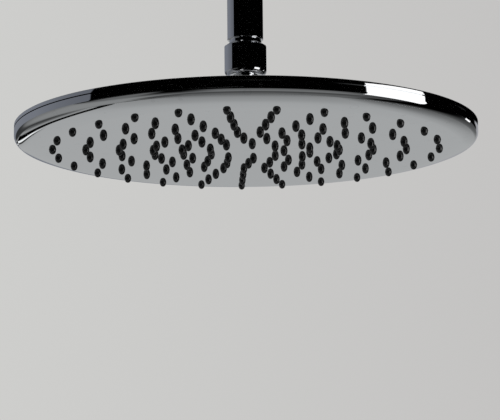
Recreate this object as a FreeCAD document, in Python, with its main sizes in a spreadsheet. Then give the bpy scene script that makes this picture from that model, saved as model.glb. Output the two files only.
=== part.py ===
import FreeCAD, Part
import math
import os
import Sketcher

# Overhead rain shower on a straight ceiling arm, in millimetres with +Z up.
# The origin is on the arm's axis in the ceiling plane, and everything else hangs below it.

document = FreeCAD.newDocument("shower_system")

# Driving dimensions: word, value
DIMENSIONS = [
    # Arm and its two threaded ends
    ("arm_diameter", 23.5),
    ("arm_wall", 2.0),
    ("arm_drop", 120.0),
    ("arm_recess", 3.0),
    ("arm_edge", 0.6),
    ("thread_diameter", 20.955),
    ("thread_length", 15.0),
    ("thread_chamfer", 1.0),
    ("nipple_grip", 16.0),
    ("nipple_bore", 14.0),
    # Ceiling rose and its ring
    ("rose_diameter", 64.0),
    ("rose_height", 10.0),
    ("rose_edge", 2.5),
    ("rose_recess_depth", 3.5),
    ("rose_recess_margin", 5.0),
    ("rose_gap", 0.25),
    ("grip_ring_section", 2.2),
    ("grip_ring_floor", 1.9),
    # Union nut and the neck that shows above it
    ("nut_diameter", 27.5),
    ("nut_height", 21.5),
    ("nut_floor", 3.8),
    ("nut_lower_round", 3.0),
    ("nut_shoulder_height", 1.9),
    ("nut_top_land", 0.4),
    ("neck_show", 2.4),
    # Ball tail
    ("ball_diameter", 22.0),
    ("ball_cut_share", 0.86),
    ("tail_reach", 13.6),
    ("tail_neck_diameter", 13.0),
    ("tail_body_diameter", 16.0),
    ("tail_body_show", 0.5),
    ("tail_flange_height", 3.2),
    ("tail_bore", 9.0),
    ("regulator_diameter", 14.0),
    ("regulator_depth", 2.6),
    ("regulator_bore", 4.0),
    ("regulator_slot_diameter", 1.6),
    ("regulator_slots", 6),
    ("regulator_step_share", 0.6),
    # Filter washer and screen
    ("washer_height", 2.2),
    ("washer_bore", 12.0),
    ("screen_thickness", 0.5),
    ("screen_grip", 0.8),
    ("screen_hole_diameter", 1.1),
    ("screen_outer_share", 0.70),
    ("screen_inner_share", 0.36),
    ("screen_outer_holes", 12),
    ("screen_inner_holes", 6),
    # Ball socket
    ("bearing_wall", 1.15),
    ("seat_upper_angle", 15.0),
    ("seat_lower_angle", 45.0),
    ("slip_lower_angle", 8.0),
    ("slip_upper_angle", 31.0),
    ("cap_lip_angle", 34.0),
    ("cap_lip_wall", 2.4),
    ("cap_wall", 3.5),
    ("cap_thread_length", 5.5),
    ("cap_top_land", 1.4),
    ("cap_top_round_share", 1.0),
    ("cap_grips", 8),
    ("cap_grip_diameter", 7.0),
    ("cap_grip_depth", 0.9),
    ("neck_thread_diameter", 31.0),
    ("neck_bore", 12.0),
    ("neck_flange_diameter", 44.0),
    ("neck_flange_height", 2.0),
    ("neck_washer_height", 1.0),
    ("ball_rise", 1.0),
    ("lock_nut_flats", 38.0),
    ("lock_nut_height", 4.0),
    ("lock_nut_edge", 0.8),
    ("lock_washer_height", 1.0),
    ("lock_washer_width", 4.5),
    # Head shells
    ("head_diameter", 300.0),
    ("rim_height", 14.3),
    ("rim_round_width", 22.2),
    ("rim_round_height", 8.0),
    ("rim_corner_radius", 4.5),
    ("rim_top_edge", 0.5),
    ("seam_drop", 2.8),
    ("seam_gap", 0.6),
    ("shell_wall", 1.6),
    ("spigot_depth", 3.0),
    ("dome_rise", 10.7),
    ("dome_flat_diameter", 48.0),
    # Nozzle field
    ("nozzle_lines", 27),
    ("middle_nozzles", 18),
    ("inner_nozzles", 9),
    ("line_angle", 11.6),
    ("middle_angle", 8.0),
    ("inner_angle", 39.0),
    ("nozzle_edge_margin", 0.15),
    ("second_ring_share", 0.8296),
    ("third_ring_share", 0.6582),
    ("fourth_ring_share", 0.4827),
    ("middle_ring_share", 0.3347),
    ("inner_ring_share", 0.1959),
    ("nozzle_diameter", 4.7),
    ("nozzle_shoulder_diameter", 4.1),
    ("nozzle_tip_diameter", 2.5),
    ("nozzle_length", 3.6),
    ("edge_nozzle_length", 3.1),
    ("nozzle_shoulder_share", 0.6),
    ("nozzle_bore", 1.2),
    ("nozzle_gap", 0.1),
    # Spray chamber
    ("mat_thickness", 2.0),
    ("mat_margin", 4.0),
    ("mat_edge_chamfer", 0.6),
    ("chamber_height", 5.0),
    ("plate_thickness", 2.5),
    ("plate_rim_width", 3.5),
    ("plate_ear_width", 9.5),
    ("plate_boss_wall", 5.0),
    ("plate_ribs", 9),
    ("plate_rib_height", 3.0),
    ("plate_rib_thickness", 2.0),
    ("plate_rib_end_share", 0.93),
    # Clamp screws and the posts they go into
    ("outer_screws", 12),
    ("inner_screws", 9),
    ("outer_screw_angle", 15.0),
    ("inner_screw_angle", 18.27),
    ("inner_screw_share", 0.559),
    ("post_diameter", 7.0),
    ("screw_diameter", 3.4),
    ("screw_head_diameter", 7.0),
    ("screw_head_height", 2.2),
    ("screw_socket_flats", 2.5),
    ("screw_socket_depth", 1.2),
    ("screw_bite", 4.5),
    # Clearances
    ("fit_gap", 0.05),
    ("running_gap", 0.05),
    ("loose_gap", 0.3),
]

sizes = document.addObject("Spreadsheet::Sheet", "Sizes")
for row, (word, value) in enumerate(DIMENSIONS, start=1):
    sizes.set(f"A{row}", word)
    sizes.set(f"B{row}", str(value))
    sizes.setAlias(f"B{row}", word)
document.recompute()


def size(word):
    """Give the reference to a driving dimension for use in an expression."""
    return f"Sizes.{word}"


def half(word):
    """Give half of a driving dimension, such as a radius from a diameter."""
    return f"(Sizes.{word} / 2)"


def number(expression):
    """Give the present value of an expression, to start a sketch near its solution."""
    return float(sizes.evalExpression(expression))


def cosine(word):
    """Give the cosine of a driving angle in degrees."""
    return f"cos({size(word)} * 1 deg)"


def sine(word):
    """Give the sine of a driving angle in degrees."""
    return f"sin({size(word)} * 1 deg)"


# Radii that several sub-parts share
fit_gap = size("fit_gap")
loose_gap = size("loose_gap")
wall = size("shell_wall")
arm_radius = half("arm_diameter")
arm_bore_radius = f"({arm_radius} - {size('arm_wall')})"
thread_radius = half("thread_diameter")
thread_bore_radius = f"({thread_radius} + {fit_gap})"
nut_radius = half("nut_diameter")
ball_radius = half("ball_diameter")
bearing_inner = f"({ball_radius} + {size('running_gap')})"
bearing_outer = f"({bearing_inner} + {size('bearing_wall')})"
pocket_radius = f"({bearing_outer} + {size('running_gap')})"
tail_body_radius = half("tail_body_diameter")
neck_radius = half("neck_thread_diameter")
neck_clear_radius = f"({neck_radius} + {loose_gap})"
head_radius = half("head_diameter")
flat_radius = f"({head_radius} - {size('rim_round_width')})"
dome_flat_radius = half("dome_flat_diameter")
mat_radius = f"({flat_radius} + {size('mat_margin')})"
nozzle_radius = half("nozzle_diameter")
post_radius = half("post_diameter")
screw_radius = half("screw_diameter")
plate_radius = f"({mat_radius} + {size('plate_ear_width')})"
outer_screw_circle = f"({mat_radius} + {size('plate_ear_width')} / 2)"
inner_screw_circle = f"({flat_radius} * {size('inner_screw_share')})"

# Heights above the outer plane of the face, from the bottom up
mat_top = f"({wall} + {size('mat_thickness')})"
chamber_top = f"({mat_top} + {size('chamber_height')})"
plate_top = f"({chamber_top} + {size('plate_thickness')})"
seam_level = f"({size('rim_height')} - {size('seam_drop')})"
dome_top = f"({size('rim_height')} + {size('dome_rise')})"
dome_under = f"({dome_top} - {wall})"
lock_washer_top = f"({dome_top} + {size('lock_washer_height')})"
lock_nut_top = f"({lock_washer_top} + {size('lock_nut_height')})"
cap_bottom = f"({lock_nut_top} + {loose_gap})"
cap_shoulder = f"({cap_bottom} + {size('cap_thread_length')})"
neck_top = f"({cap_shoulder} - {loose_gap})"
ball_level = f"({neck_top} + {size('ball_rise')})"
neck_bottom = f"({chamber_top} - {size('neck_washer_height')} - {size('neck_flange_height')})"
nut_bottom = f"({ball_level} + {size('tail_reach')})"
tail_top = f"({nut_bottom} + {size('nut_floor')} + {size('tail_flange_height')})"
washer_top = f"({tail_top} + {size('washer_height')})"
nut_top = f"({nut_bottom} + {size('nut_height')})"
arm_end = f"({nut_top} + {size('neck_show')})"
ceiling = f"({arm_end} + {size('arm_drop')})"
arm_top = f"({ceiling} - {size('arm_recess')})"


def origin_feature(body, role):
    """Find a plane or axis of a body's own origin by its role."""
    for feature in body.Origin.OriginFeatures:
        if feature.Role == role:
            return feature
    raise ValueError(role)


def new_body(name, level):
    """Start a sub-part whose local zero height lies at a level above the face plane."""
    body = document.addObject("PartDesign::Body", name)
    body.Label = name
    body.setExpression("Placement.Base.z", f"{level} - {ceiling}")
    return body


def new_sketch(body, name, role, height=None):
    """Start a sketch on a plane of the body, raised to a height when one is given."""
    sketch = body.newObject("Sketcher::SketchObject", name)
    sketch.AttachmentSupport = [(origin_feature(body, role), "")]
    sketch.MapMode = "FlatFace"
    if height is not None:
        sketch.setExpression("AttachmentOffset.Base.z", height)
    return sketch


def pin_point(sketch, geometry, end, across, up):
    """Fix a sketch point at two coordinates; a coordinate of "0" puts it on the axis."""
    for kind, expression, axis in (("DistanceX", across, -2), ("DistanceY", up, -1)):
        if expression == "0":
            sketch.addConstraint(Sketcher.Constraint("PointOnObject", geometry, end, axis))
            continue
        rule = Sketcher.Constraint(kind, -1, 1, geometry, end, number(expression))
        index = sketch.addConstraint(rule)
        sketch.setExpression(f"Constraints[{index}]", expression)


def add_outline(sketch, corners):
    """Draw a closed outline through corners, anticlockwise.

    A corner holds its two coordinates and, when the side that follows it is an arc, that arc's
    radius and the way the outline turns along it, "left" or "right".
    """
    places = [FreeCAD.Vector(number(corner[0]), number(corner[1]), 0) for corner in corners]
    sides = []
    for index, corner in enumerate(corners):
        start = places[index]
        finish = places[(index + 1) % len(places)]
        if len(corner) == 2:
            geometry = sketch.addGeometry(Part.LineSegment(start, finish), False)
            sides.append((geometry, 1, 2))
            continue
        radius = number(corner[2])
        chord = finish - start
        rise = math.sqrt(max(radius * radius - chord.Length * chord.Length / 4, 0))
        to_left = FreeCAD.Vector(-chord.y, chord.x, 0).normalize()
        turns_left = corner[3] == "left"
        centre = (start + finish) * 0.5 + to_left * (rise if turns_left else -rise)
        first, last = (start, finish) if turns_left else (finish, start)
        first_angle = math.atan2(first.y - centre.y, first.x - centre.x)
        last_angle = math.atan2(last.y - centre.y, last.x - centre.x)
        circle = Part.Circle(centre, FreeCAD.Vector(0, 0, 1), radius)
        geometry = sketch.addGeometry(Part.ArcOfCircle(circle, first_angle, last_angle), False)
        sides.append((geometry, 1, 2) if turns_left else (geometry, 2, 1))
    for index, (geometry, _, end) in enumerate(sides):
        following, begin, _ = sides[(index + 1) % len(sides)]
        sketch.addConstraint(Sketcher.Constraint("Coincident", geometry, end, following, begin))
    for (geometry, begin, _), corner in zip(sides, corners):
        pin_point(sketch, geometry, begin, corner[0], corner[1])
        if len(corner) > 2:
            rule = Sketcher.Constraint("Radius", geometry, number(corner[2]))
            index = sketch.addConstraint(rule)
            sketch.setExpression(f"Constraints[{index}]", corner[2])


def add_circle(sketch, across, up, radius):
    """Draw a circle with its centre and radius bound to expressions."""
    centre = FreeCAD.Vector(number(across), number(up), 0)
    circle = Part.Circle(centre, FreeCAD.Vector(0, 0, 1), number(radius))
    geometry = sketch.addGeometry(circle, False)
    pin_point(sketch, geometry, 3, across, up)
    rule = Sketcher.Constraint("Radius", geometry, number(radius))
    index = sketch.addConstraint(rule)
    sketch.setExpression(f"Constraints[{index}]", radius)


def turned(body, corners):
    """Turn a half section about the body's own vertical axis."""
    sketch = new_sketch(body, body.Name + "_section", "XZ_Plane")
    add_outline(sketch, corners)
    turning = body.newObject("PartDesign::Revolution", body.Name + "_turning")
    turning.Profile = sketch
    turning.ReferenceAxis = (sketch, ["V_Axis"])
    turning.Angle = 360
    sketch.Visibility = False
    return turning


def raised(body, name, height, length, circles, downwards=False):
    """Pad circles upwards or downwards from a height of the body."""
    sketch = new_sketch(body, name + "_circles", "XY_Plane", height)
    for across, up, radius in circles:
        add_circle(sketch, across, up, radius)
    pad = body.newObject("PartDesign::Pad", name)
    pad.Profile = sketch
    pad.setExpression("Length", length)
    pad.Reversed = downwards
    sketch.Visibility = False
    return pad


def drilled(body, name, height, depth, circles):
    """Cut circles downwards from a height of the body; no depth means right through."""
    sketch = new_sketch(body, name + "_circles", "XY_Plane", height)
    for across, up, radius in circles:
        add_circle(sketch, across, up, radius)
    pocket = body.newObject("PartDesign::Pocket", name)
    pocket.Profile = sketch
    if depth is None:
        pocket.Type = "ThroughAll"
    else:
        pocket.setExpression("Length", depth)
    sketch.Visibility = False
    return pocket


def repeated(body, name, originals, count):
    """Repeat features evenly round the body's vertical axis."""
    document.recompute()
    pattern = body.newObject("PartDesign::PolarPattern", name)
    pattern.Originals = originals
    pattern.Axis = (origin_feature(body, "Z_Axis"), [""])
    pattern.Angle = 360
    pattern.setExpression("Occurrences", count)
    pattern.Refine = False
    body.Tip = pattern
    return pattern


def on_ring(radius, angle_word):
    """Give the two coordinates of a point on a ring at a driving angle."""
    return f"{radius} * {cosine(angle_word)}", f"{radius} * {sine(angle_word)}"


# Arm: a chromed tube with a threaded nipple fixed in each end
arm_tube = new_body("arm_tube", arm_end)
arm_length = f"({size('arm_drop')} - {size('arm_recess')})"
arm_edge = size("arm_edge")
turned(arm_tube, [
    (arm_bore_radius, "0"),
    (f"{arm_radius} - {arm_edge}", "0", arm_edge, "left"),
    (arm_radius, arm_edge),
    (arm_radius, arm_length),
    (arm_bore_radius, arm_length),
])

nipple_grip_radius = f"({arm_bore_radius} - {fit_gap})"
nipple_bore_radius = half("nipple_bore")
chamfer = size("thread_chamfer")

upper_nipple = new_body("upper_nipple", f"({arm_top} - {size('nipple_grip')})")
upper_thread = f"({size('thread_length')} + {size('arm_recess')})"
upper_length = f"({size('nipple_grip')} + {upper_thread})"
turned(upper_nipple, [
    (nipple_bore_radius, "0"),
    (nipple_grip_radius, "0"),
    (nipple_grip_radius, size("nipple_grip")),
    (thread_radius, size("nipple_grip")),
    (thread_radius, f"{upper_length} - {chamfer}"),
    (f"{thread_radius} - {chamfer}", upper_length),
    (nipple_bore_radius, upper_length),
])

lower_nipple = new_body("lower_nipple", washer_top)
lower_thread = f"({arm_end} - {washer_top})"
lower_length = f"({lower_thread} + {size('nipple_grip')})"
turned(lower_nipple, [
    (nipple_bore_radius, "0"),
    (f"{thread_radius} - {chamfer}", "0"),
    (thread_radius, chamfer),
    (thread_radius, lower_thread),
    (nipple_grip_radius, lower_thread),
    (nipple_grip_radius, lower_length),
    (nipple_bore_radius, lower_length),
])

# Ceiling rose: slides on the arm and is held up by a rubber ring in a groove
rose_radius = half("rose_diameter")
rose_bore = f"({arm_radius} + {size('rose_gap')})"
rose_edge = size("rose_edge")
ring_radius = half("grip_ring_section")
ring_centre = f"({arm_radius} + {fit_gap} + {ring_radius})"
groove_radius = f"({ring_centre} + {ring_radius} + {fit_gap})"
groove_bottom = size("grip_ring_floor")
groove_top = f"({groove_bottom} + {size('grip_ring_section')} + 2 * {fit_gap})"
recess_radius = f"({rose_radius} - {size('rose_recess_margin')})"
recess_floor = f"({size('rose_height')} - {size('rose_recess_depth')})"

ceiling_rose = new_body("ceiling_rose", f"({ceiling} - {size('rose_height')})")
turned(ceiling_rose, [
    (rose_bore, "0"),
    (f"{rose_radius} - {rose_edge}", "0", rose_edge, "left"),
    (rose_radius, rose_edge),
    (rose_radius, size("rose_height")),
    (recess_radius, size("rose_height")),
    (recess_radius, recess_floor),
    (rose_bore, recess_floor),
    (rose_bore, groove_top),
    (groove_radius, groove_top),
    (groove_radius, groove_bottom),
    (rose_bore, groove_bottom),
])

grip_ring_level = f"({ceiling} - {size('rose_height')} + {groove_bottom} + {fit_gap})"
rose_grip_ring = new_body("rose_grip_ring", grip_ring_level)
turned(rose_grip_ring, [
    (ring_centre, "0", ring_radius, "left"),
    (f"{ring_centre} + {ring_radius}", ring_radius, ring_radius, "left"),
    (ring_centre, size("grip_ring_section"), ring_radius, "left"),
    (f"{ring_centre} - {ring_radius}", ring_radius, ring_radius, "left"),
])

# Union nut: screws on the lower nipple and lifts the ball tail against the washer
nut_floor = size("nut_floor")
nut_height = size("nut_height")
nut_round = size("nut_lower_round")
nut_hole = f"({tail_body_radius} + {loose_gap} / 2)"
union_nut = new_body("union_nut", nut_bottom)
turned(union_nut, [
    (nut_hole, "0"),
    (f"{nut_radius} - {nut_round}", "0", nut_round, "left"),
    (nut_radius, nut_round),
    (nut_radius, f"{nut_height} - {size('nut_shoulder_height')}"),
    (f"{thread_bore_radius} + {size('nut_top_land')}", nut_height),
    (thread_bore_radius, nut_height),
    (thread_bore_radius, nut_floor),
    (nut_hole, nut_floor),
])

# Ball tail: hollow ball on a neck, with a flange that the union nut holds
ball_cut = f"({ball_radius} * {size('ball_cut_share')})"
tail_neck_radius = half("tail_neck_diameter")
tail_flange_radius = f"({thread_bore_radius} - {loose_gap})"
tail_bore_radius = half("tail_bore")
tail_flange_level = f"({ball_cut} + {size('tail_reach')} + {nut_floor})"
tail_body_level = f"({ball_cut} + {size('tail_reach')} - {size('tail_body_show')})"
tail_length = f"({tail_flange_level} + {size('tail_flange_height')})"
regulator_pocket = half("regulator_diameter")
regulator_floor = f"({tail_length} - {size('regulator_depth')})"
ball_foot = f"sqrt({ball_radius} ^ 2 - {ball_cut} ^ 2)"
ball_neck_level = f"({ball_cut} + sqrt({ball_radius} ^ 2 - {tail_neck_radius} ^ 2))"
ball_tail = new_body("ball_tail", f"({ball_level} - {ball_cut})")
turned(ball_tail, [
    (tail_bore_radius, "0"),
    (ball_foot, "0", ball_radius, "left"),
    (ball_radius, ball_cut, ball_radius, "left"),
    (tail_neck_radius, ball_neck_level),
    (tail_neck_radius, tail_body_level),
    (tail_body_radius, tail_body_level),
    (tail_body_radius, tail_flange_level),
    (tail_flange_radius, tail_flange_level),
    (tail_flange_radius, tail_length),
    (regulator_pocket, tail_length),
    (regulator_pocket, regulator_floor),
    (tail_bore_radius, regulator_floor),
])

# Flow regulator: a stepped disc in the tail's mouth, with slots round its bore
regulator_radius = f"({regulator_pocket} - {fit_gap})"
regulator_height = f"({size('regulator_depth')} - {fit_gap})"
regulator_step = f"({regulator_height} * {size('regulator_step_share')})"
flow_regulator = new_body("flow_regulator", f"({tail_top} - {size('regulator_depth')})")
regulator_slot_circle = f"(({half('regulator_bore')} + {regulator_radius}) / 2)"
turned(flow_regulator, [
    (half("regulator_bore"), "0"),
    (regulator_radius, "0"),
    (regulator_radius, regulator_height),
    (f"({regulator_slot_circle} + {size('regulator_slot_diameter')})", regulator_height),
    (f"({regulator_slot_circle} + {size('regulator_slot_diameter')})", regulator_step),
    (half("regulator_bore"), regulator_step),
])
slots = drilled(flow_regulator, "regulator_slot", regulator_height, None, [
    (regulator_slot_circle, "0", half("regulator_slot_diameter")),
])
repeated(flow_regulator, "regulator_slot_ring", [slots], size("regulator_slots"))

# Filter washer with its screen held in an inner groove
washer_bore_radius = half("washer_bore")
screen_slot_radius = f"({washer_bore_radius} + {size('screen_grip')})"
screen_slot_bottom = f"(({size('washer_height')} - {size('screen_thickness')}) / 2 - {fit_gap})"
screen_slot_top = f"(({size('washer_height')} + {size('screen_thickness')}) / 2 + {fit_gap})"
filter_washer = new_body("filter_washer", tail_top)
turned(filter_washer, [
    (washer_bore_radius, "0"),
    (tail_flange_radius, "0"),
    (tail_flange_radius, size("washer_height")),
    (washer_bore_radius, size("washer_height")),
    (washer_bore_radius, screen_slot_top),
    (screen_slot_radius, screen_slot_top),
    (screen_slot_radius, screen_slot_bottom),
    (washer_bore_radius, screen_slot_bottom),
])

screen_radius = f"({screen_slot_radius} - {fit_gap})"
screen_thickness = size("screen_thickness")
filter_screen = new_body("filter_screen", f"({tail_top} + {screen_slot_bottom} + {fit_gap})")
turned(filter_screen, [
    ("0", "0"),
    (screen_radius, "0"),
    (screen_radius, screen_thickness),
    ("0", screen_thickness),
])
screen_hole = half("screen_hole_diameter")
drilled(filter_screen, "screen_centre_hole", screen_thickness, None, [("0", "0", screen_hole)])
for ring in ("outer", "inner"):
    hole_circle = f"({washer_bore_radius} * {size('screen_' + ring + '_share')})"
    hole = drilled(filter_screen, f"screen_{ring}_hole", screen_thickness, None, [
        (hole_circle, "0", screen_hole),
    ])
    repeated(filter_screen, f"screen_{ring}_ring", [hole], size(f"screen_{ring}_holes"))

# Ball socket: a lower seat and an upper slip ring, both parts of shells about the ball's centre
seat_base = f"({ball_level} - {pocket_radius})"


def below_ball(radius, angle_word):
    """Give a point of a sphere about the ball's centre, at an angle below its equator."""
    return f"{radius} * {cosine(angle_word)}", f"{pocket_radius} - {radius} * {sine(angle_word)}"


def above_ball(radius, angle_word):
    """Give a point of a sphere about the ball's centre, at an angle above its equator."""
    return f"{radius} * {cosine(angle_word)}", f"{radius} * {sine(angle_word)}"


ball_seat = new_body("ball_seat", seat_base)
turned(ball_seat, [
    (*below_ball(bearing_inner, "seat_lower_angle"),),
    (*below_ball(bearing_outer, "seat_lower_angle"), bearing_outer, "left"),
    (*below_ball(bearing_outer, "seat_upper_angle"),),
    (*below_ball(bearing_inner, "seat_upper_angle"), bearing_inner, "right"),
])

slip_ring = new_body("slip_ring", ball_level)
turned(slip_ring, [
    (*above_ball(bearing_inner, "slip_lower_angle"),),
    (*above_ball(bearing_outer, "slip_lower_angle"), bearing_outer, "left"),
    (*above_ball(bearing_outer, "slip_upper_angle"),),
    (*above_ball(bearing_inner, "slip_upper_angle"), bearing_inner, "right"),
])

# Inlet neck: flange in the spray chamber, thread through the shell, ball pocket at the top
neck_length = f"({neck_top} - {neck_bottom})"
neck_bore_radius = half("neck_bore")
neck_ball = f"({ball_level} - {neck_bottom})"
pocket_mouth = f"sqrt({pocket_radius} ^ 2 - {size('ball_rise')} ^ 2)"
pocket_foot = f"({neck_ball} - sqrt({pocket_radius} ^ 2 - {neck_bore_radius} ^ 2))"
inlet_neck = new_body("inlet_neck", neck_bottom)
turned(inlet_neck, [
    (neck_bore_radius, "0"),
    (half("neck_flange_diameter"), "0"),
    (half("neck_flange_diameter"), size("neck_flange_height")),
    (neck_radius, size("neck_flange_height")),
    (neck_radius, neck_length),
    (pocket_mouth, neck_length, pocket_radius, "right"),
    (neck_bore_radius, pocket_foot),
])

neck_washer = new_body("neck_washer", f"({chamber_top} - {size('neck_washer_height')})")
turned(neck_washer, [
    (neck_clear_radius, "0"),
    (f"{half('neck_flange_diameter')} - {loose_gap}", "0"),
    (f"{half('neck_flange_diameter')} - {loose_gap}", size("neck_washer_height")),
    (neck_clear_radius, size("neck_washer_height")),
])

lock_washer = new_body("lock_washer", dome_top)
lock_washer_radius = f"({neck_clear_radius} + {size('lock_washer_width')})"
turned(lock_washer, [
    (neck_clear_radius, "0"),
    (lock_washer_radius, "0"),
    (lock_washer_radius, size("lock_washer_height")),
    (neck_clear_radius, size("lock_washer_height")),
])

# Lock nut: a hexagon with turned edges
lock_corner_radius = f"({half('lock_nut_flats')} / cos(30 deg))"
lock_bore_radius = f"({neck_radius} + {fit_gap})"
lock_edge = size("lock_nut_edge")
lock_nut = new_body("lock_nut", lock_washer_top)
turned(lock_nut, [
    (lock_bore_radius, "0"),
    (f"{lock_corner_radius} - 2 * {lock_edge}", "0"),
    (lock_corner_radius, lock_edge),
    (lock_corner_radius, f"{size('lock_nut_height')} - {lock_edge}"),
    (f"{lock_corner_radius} - 2 * {lock_edge}", size("lock_nut_height")),
    (lock_bore_radius, size("lock_nut_height")),
])
flat_sketch = new_sketch(lock_nut, "lock_nut_flat_area", "XY_Plane", size("lock_nut_height"))
add_outline(flat_sketch, [
    (half("lock_nut_flats"), f"-{lock_corner_radius}"),
    (f"{lock_corner_radius} + {lock_edge}", f"-{lock_corner_radius}"),
    (f"{lock_corner_radius} + {lock_edge}", lock_corner_radius),
    (half("lock_nut_flats"), lock_corner_radius),
])
nut_flat = lock_nut.newObject("PartDesign::Pocket", "lock_nut_flat")
nut_flat.Profile = flat_sketch
nut_flat.Type = "ThroughAll"
flat_sketch.Visibility = False
repeated(lock_nut, "lock_nut_flats_ring", [nut_flat], "6")

# Ball cap: screws on the inlet neck and holds the ball down through the slip ring
cap_radius = f"({neck_radius} + {size('cap_wall')})"
cap_ball = f"({ball_level} - {cap_bottom})"
cap_lip_outer = f"({pocket_radius} + {size('cap_lip_wall')})"
cap_top = f"({cap_ball} + {cap_lip_outer} * {sine('cap_lip_angle')})"
cap_mouth = f"({cap_lip_outer} * {cosine('cap_lip_angle')})"
cap_land = f"({cap_mouth} + {size('cap_top_land')})"
cap_round = f"(({cap_radius} - {cap_land}) * {size('cap_top_round_share')})"
cap_waist = size("cap_thread_length")
cap_pocket_edge = f"sqrt({pocket_radius} ^ 2 - ({cap_waist} - {cap_ball}) ^ 2)"
ball_cap = new_body("ball_cap", cap_bottom)
turned(ball_cap, [
    (lock_bore_radius, "0"),
    (cap_radius, "0"),
    (cap_radius, f"{cap_top} - {cap_round}", f"{cap_round}", "left"),
    (f"{cap_radius} - {cap_round}", cap_top),
    (cap_mouth, cap_top),
    (f"{pocket_radius} * {cosine('cap_lip_angle')}",
     f"{cap_ball} + {pocket_radius} * {sine('cap_lip_angle')}", pocket_radius, "right"),
    (cap_pocket_edge, cap_waist),
    (lock_bore_radius, cap_waist),
])
grip_circle = f"({cap_radius} + {half('cap_grip_diameter')} - {size('cap_grip_depth')})"
grip = drilled(ball_cap, "cap_grip", cap_top, None, [
    (grip_circle, "0", half("cap_grip_diameter")),
])
repeated(ball_cap, "cap_grip_ring", [grip], size("cap_grips"))

# Top shell: shallow dome, upper strip of the rim and a spigot inside the lower shell
top_edge = size("rim_top_edge")
spigot_outer = f"({head_radius} - {wall} - {loose_gap} / 2)"
spigot_inner = f"({spigot_outer} - {wall})"
shell_base = f"({seam_level} - {size('spigot_depth')})"
strip_bottom = f"({size('spigot_depth')} + {size('seam_gap')})"
shell_rim_top = f"({size('rim_height')} - {shell_base})"
shell_top = f"({dome_top} - {shell_base})"
outer_run = f"({head_radius} - {top_edge} - {dome_flat_radius})"
inner_run = f"({spigot_inner} - {dome_flat_radius})"
dome_rise = size("dome_rise")
dome_outer_bend = f"(({outer_run} ^ 2 + {dome_rise} ^ 2) / (2 * {dome_rise}))"
dome_inner_bend = f"(({inner_run} ^ 2 + {dome_rise} ^ 2) / (2 * {dome_rise}))"
top_shell = new_body("top_shell", shell_base)
turned(top_shell, [
    (neck_clear_radius, f"{shell_top} - {wall}"),
    (dome_flat_radius, f"{shell_top} - {wall}", dome_inner_bend, "right"),
    (spigot_inner, f"{shell_rim_top} - {wall}"),
    (spigot_inner, "0"),
    (spigot_outer, "0"),
    (spigot_outer, strip_bottom),
    (head_radius, strip_bottom),
    (head_radius, f"{shell_rim_top} - {top_edge}", top_edge, "left"),
    (f"{head_radius} - {top_edge}", shell_rim_top, dome_outer_bend, "left"),
    (dome_flat_radius, shell_top),
    (neck_clear_radius, shell_top),
])

# Face plate: flat mirror face that sweeps up into the rim, with a hole for each nozzle
corner_radius = size("rim_corner_radius")
round_height = size("rim_round_height")
sweep_run = f"({size('rim_round_width')} - {corner_radius})"
sweep_radius = (f"(({sweep_run} ^ 2 + {round_height} ^ 2 - {corner_radius} ^ 2)"
                f" / (2 * ({round_height} - {corner_radius})))")
corner_across = f"({head_radius} - {corner_radius})"
lean_across = f"({sweep_run} / ({sweep_radius} - {corner_radius}))"
lean_down = f"(({sweep_radius} - {round_height}) / ({sweep_radius} - {corner_radius}))"
inner_corner = f"({corner_radius} - {wall})"
face_plate = new_body("face_plate", "0")
turned(face_plate, [
    ("0", "0"),
    (flat_radius, "0", sweep_radius, "left"),
    (f"{corner_across} + {corner_radius} * {lean_across}",
     f"{round_height} - {corner_radius} * {lean_down}", corner_radius, "left"),
    (head_radius, round_height),
    (head_radius, seam_level),
    (f"{head_radius} - {wall}", seam_level),
    (f"{head_radius} - {wall}", round_height, inner_corner, "right"),
    (f"{corner_across} + {inner_corner} * {lean_across}",
     f"{round_height} - {inner_corner} * {lean_down}", f"({sweep_radius} - {wall})", "right"),
    (flat_radius, wall),
    ("0", wall),
])

# Posts for the clamp screws stand on the inside of the face; the outer ones start within its sweep
def sweep_height(bend, radius):
    """Give the height of a sweep of the given bend at a radius, above the outer plane."""
    return f"({sweep_radius} - sqrt({bend} ^ 2 - ({radius} - {flat_radius}) ^ 2))"


outer_skin = sweep_height(sweep_radius, f"({outer_screw_circle} + {post_radius})")
inner_skin = sweep_height(f"({sweep_radius} - {wall})", f"({outer_screw_circle} - {post_radius})")
POSTS = [
    ("outer", outer_screw_circle, f"(({outer_skin} + {inner_skin}) / 2)"),
    ("inner", inner_screw_circle, f"({wall} / 2)"),
]
post_hole_radius = f"({screw_radius} + {fit_gap})"
post_hole_depth = f"({size('screw_bite')} + {loose_gap})"
for ring, circle, foot in POSTS:
    across, up = on_ring(circle, f"{ring}_screw_angle")
    post = raised(face_plate, f"{ring}_post", foot, f"{chamber_top} - {foot}", [
        (across, up, post_radius),
    ])
    hole = drilled(face_plate, f"{ring}_post_hole", chamber_top, post_hole_depth, [
        (across, up, post_hole_radius),
    ])
    repeated(face_plate, f"{ring}_posts", [post, hole], size(f"{ring}_screws"))

# Nozzle rings: the first keeps a margin to the edge of the flat face, the others are shares of it
nozzle_hole_radius = f"({nozzle_radius} + {size('nozzle_gap')})"
first_ring_radius = f"({flat_radius} - {nozzle_hole_radius} - {size('nozzle_edge_margin')})"
RING_RADII = {"first": first_ring_radius}
for ring in ("second", "third", "fourth", "middle", "inner"):
    RING_RADII[ring] = f"({first_ring_radius} * {size(ring + '_ring_share')})"

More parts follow.
